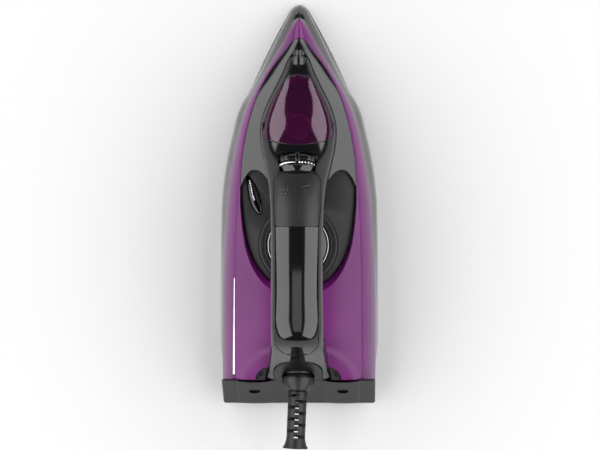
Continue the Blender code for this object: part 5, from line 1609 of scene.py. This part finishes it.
@dataclass
class CordOutlet:
    """The swivel ring, the ball and the slotted guard that the cord leaves through."""

    ball_radius: float = 10.8
    clear: float = 0.25
    ring: float = 0.9
    ring_half: float = 3.2
    radius: float = 7.0
    bore: float = 3.9
    length: float = 41.0
    bell: float = 9.4
    slots: int = 8
    slot_width: float = 2.3
    yaw: float = math.radians(-2.5)

    def build(self) -> None:
        """Makes the outlet's pieces round the ball's centre."""
        self.centre = Vector(FORM.ball)
        inner = self.ball_radius + self.clear
        outer = inner + self.ring
        reach = math.asin(self.ring_half / outer)
        turns = [reach * k / 6 for k in range(-6, 7)]
        zone = [(outer * math.cos(t), outer * math.sin(t)) for t in turns]
        zone += [(inner * math.cos(t), inner * math.sin(t)) for t in reversed(turns)]
        band = self.turned_aside(turned("swivel_band", zone, self.centre, (0, 1, 0), steps=96))
        finished(band, SATIN, "swivel", "swivel_ring", angle=50)
        mesh = bmesh.new()
        bmesh.ops.create_uvsphere(mesh, u_segments=64, v_segments=32, radius=self.ball_radius)
        bmesh.ops.translate(mesh, vec=self.centre, verts=mesh.verts)
        ball = solid("swivel_ball", mesh)
        reach = Vector((0, 15, 0))
        combine(ball, rod("bore", self.centre - reach, self.centre + reach, self.bore))
        neck = -math.sqrt(self.ball_radius ** 2 - self.radius ** 2) + 1.2
        flat, away = self.centre + Vector((0, neck, 0)), self.centre - Vector((0, 20, 0))
        combine(ball, rod("flat", flat, away, self.radius + 1.5))
        finished(self.turned_aside(ball), SATIN, "cord_outlet", "cord_ball", angle=40)
        self.guard(self.centre.y + neck - GAP)

    def turned_aside(self, piece: bpy.types.Object) -> bpy.types.Object:
        """Yaws a piece a little about the ball, as the cord leaves.

        Args:
            piece: The object, whose mesh is turned.

        Returns:
            The object.
        """
        pivot = Matrix.Translation(self.centre * MM)
        piece.data.transform(pivot @ Matrix.Rotation(self.yaw, 4, "Z") @ pivot.inverted())
        return piece

    def guard(self, start: float) -> None:
        """The flexible guard: a tube with staggered slots that ends in a small bell.

        Args:
            start: The station where it leaves the ball.
        """
        end = start - self.length - 2.0
        bell = end + 8.5
        r, bore, wide = self.radius, self.bore, self.bell
        profile = [(bore, start), (r - 0.9, start), (r - 0.3, start - 0.3), (r, start - 1.0),
                   (r - 0.1, bell), (r + 0.2, bell - 2.2), (r + 0.9, end + 3.6), (r + 1.7, end + 1.9),
                   (wide, end + 0.8), (wide, end + 0.35), (wide - 0.5, end), (bore + 2.6, end),
                   (bore + 1.0, end + 2.2), (bore, end + 5)]
        guard = turned("guard_sleeve", profile, (0, 0, self.centre.z), (0, 1, 0), steps=72)
        first = start - 3.5
        pitch = (first - bell - 0.5) / (self.slots - 1)
        for i in range(self.slots):
            side = -1 if i % 2 == 0 else 1
            for z, later in ((1, 0.0), (-1, 0.4)):
                centre = (side * z * (r / 2 + 1.0), first - pitch * (i + later),
                          self.centre.z + z * (r / 2 + 0.6))
                combine(guard, block("slot", centre, (r + 5.0, self.slot_width, r)))
        finished(self.turned_aside(guard), RUBBER, "cord_outlet", "cord_guard")


# ------------------------------------------------------------ inner pieces


@dataclass
class Works:
    """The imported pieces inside, which keep their shape and get the finish of the real ones."""

    finishes: dict[str, Finish] = field(default_factory=lambda: {
        "sole_casting": CAST, "heel_screw_left": SATIN, "heel_screw_right": SATIN,
        "chamber_cover": STEEL, "chamber_gasket": SILICONE, "valve_seat": SILICONE,
        "heating_element": STEEL, "thermostat": NYLON, "thermal_fuse": STEEL, "tank_floor": SMOKE,
        "fill_spout": SMOKE, "inlet_tray": PIANO, "valve_rod": BRASS, "spray_tube": SMOKE,
        "steam_tube": SMOKE,
        "terminal_block": NYLON, "ball_retainer": SATIN, "dial_shaft": NYLON,
        "clean_plunger": NYLON, "clean_valve_seat": NYLON, **WIRES})
    by_word: dict[str, Finish] = field(default_factory=lambda: {
        "screw": STEEL, "spring": STEEL, "pin": STEEL, "pump": NYLON})

    def build(self) -> None:
        """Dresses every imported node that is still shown."""
        for name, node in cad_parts.items():
            found = self.finishes.get(name)
            if found is None:
                found = next((f for word, f in self.by_word.items() if word in name), None)
            if found:
                node.data.materials.clear()
                node.data.materials.append(found.material())
                log.info("%s: %s", name, found.name)


# ------------------------------------------------------------ studio


@dataclass
class Studio:
    """A pale floor, two long soft boxes at the sides, a dim ceiling, and a camera straight overhead."""

    target: tuple[float, float, float] = (1.1, -36.4, 50.0)
    distance: float = 3150.0
    lean: float = math.radians(0.9)
    field_of_view: float = 446.6
    box_watts: float = 104.0
    box_reach: float = 1200.0
    box_angle: float = math.radians(49)
    box_size: tuple[float, float] = (1440.0, 6100.0)
    box_shift: float = -450.0
    ceiling_watts: float = 16.0
    ceiling_size: tuple[float, float] = (800.0, 4400.0)
    ceiling_place: tuple[float, float, float] = (0.0, -2000.0, 2500.0)
    floor_colour: str = "#a6a6a7"
    floor_half: float = 4000.0
    sky: float = 0.05
    sensor: float = 36.0

    def build(self) -> None:
        """Makes the floor, the lights, the world and the camera."""
        self.floor()
        self.lights()
        self.camera()
        bpy.context.scene.view_settings.view_transform = "Standard"

    def floor(self) -> None:
        """A matt sweep that the iron lies on."""
        mesh = bmesh.new()
        bmesh.ops.create_grid(mesh, x_segments=1, y_segments=1, size=self.floor_half)
        bmesh.ops.translate(mesh, vec=(0, 0, -0.05), verts=mesh.verts)
        floor = solid("floor", mesh, closed=False)
        sweep = bpy.data.materials.new("matt studio paper")
        sweep.use_nodes = True
        shader = sweep.node_tree.nodes["Principled BSDF"]
        shader.inputs["Base Color"].default_value = linear(self.floor_colour)
        shader.inputs["Roughness"].default_value = 0.9
        shader.inputs["Specular IOR Level"].default_value = 0.1
        floor.data.materials.append(sweep)

    def light(self, name: str, place: Vector, aim: Vector, size: tuple[float, float], watts: float) -> None:
        """One rectangular soft box that the camera doesn't see.

        Args:
            name: The lamp's name.
            place: Its middle.
            aim: The point that it faces.
            size: Its sides across and along the iron.
            watts: Its power.
        """
        lamp = bpy.data.lights.new(name, "AREA")
        lamp.shape, lamp.size, lamp.size_y, lamp.energy = "RECTANGLE", size[0] * MM, size[1] * MM, watts
        made = bpy.data.objects.new(name, lamp)
        away = (place - aim).normalized()
        across = Vector((0, 1, 0)).cross(away).normalized()
        made.location = place * MM
        made.rotation_euler = Matrix((across, away.cross(across), away)).transposed().to_euler()
        made.visible_camera = False
        bpy.context.scene.collection.objects.link(made)

    def lights(self) -> None:
        """The two side boxes, the dim ceiling and a low even sky."""
        aim = Vector(self.target)
        for name, side in (("box_left", -1), ("box_right", 1)):
            way = Vector((side * math.sin(self.box_angle), 0, math.cos(self.box_angle))) * self.box_reach
            shift = Vector((0, self.box_shift, 0))
            self.light(name, aim + way + shift, aim + shift, self.box_size, self.box_watts)
        above = aim + Vector(self.ceiling_place)
        self.light("ceiling", above, above - Vector((0, 0, 1000)), self.ceiling_size, self.ceiling_watts)
        world = bpy.context.scene.world or bpy.data.worlds.new("world")
        bpy.context.scene.world = world
        world.use_nodes = True
        shade = world.node_tree.nodes["Background"]
        shade.inputs["Color"].default_value = linear("#ffffff")
        shade.inputs["Strength"].default_value = self.sky

    def camera(self) -> None:
        """The camera, almost straight above, with the nose at the top of the frame."""
        lens = bpy.data.cameras.new("camera")
        lens.sensor_width = self.sensor
        lens.lens = self.sensor * self.distance / self.field_of_view
        lens.clip_end = 100.0
        made = bpy.data.objects.new("camera", lens)
        aim = Vector(self.target)
        place = aim + Vector((math.tan(self.lean) * self.distance, 0, self.distance))
        made.location = place * MM
        made.rotation_euler = (0, self.lean, 0)
        bpy.context.scene.collection.objects.link(made)
        bpy.context.scene.camera = made


def main() -> None:
    """Builds the iron from the sole up, then the studio."""
    logging.basicConfig(level=logging.INFO, format="%(name)s %(message)s")
    for part in (Base(), Body(), Handle(), Dial(), Heel(), CordOutlet(), Works(), Studio()):
        part.build()


if __name__ == "__main__":
    main()
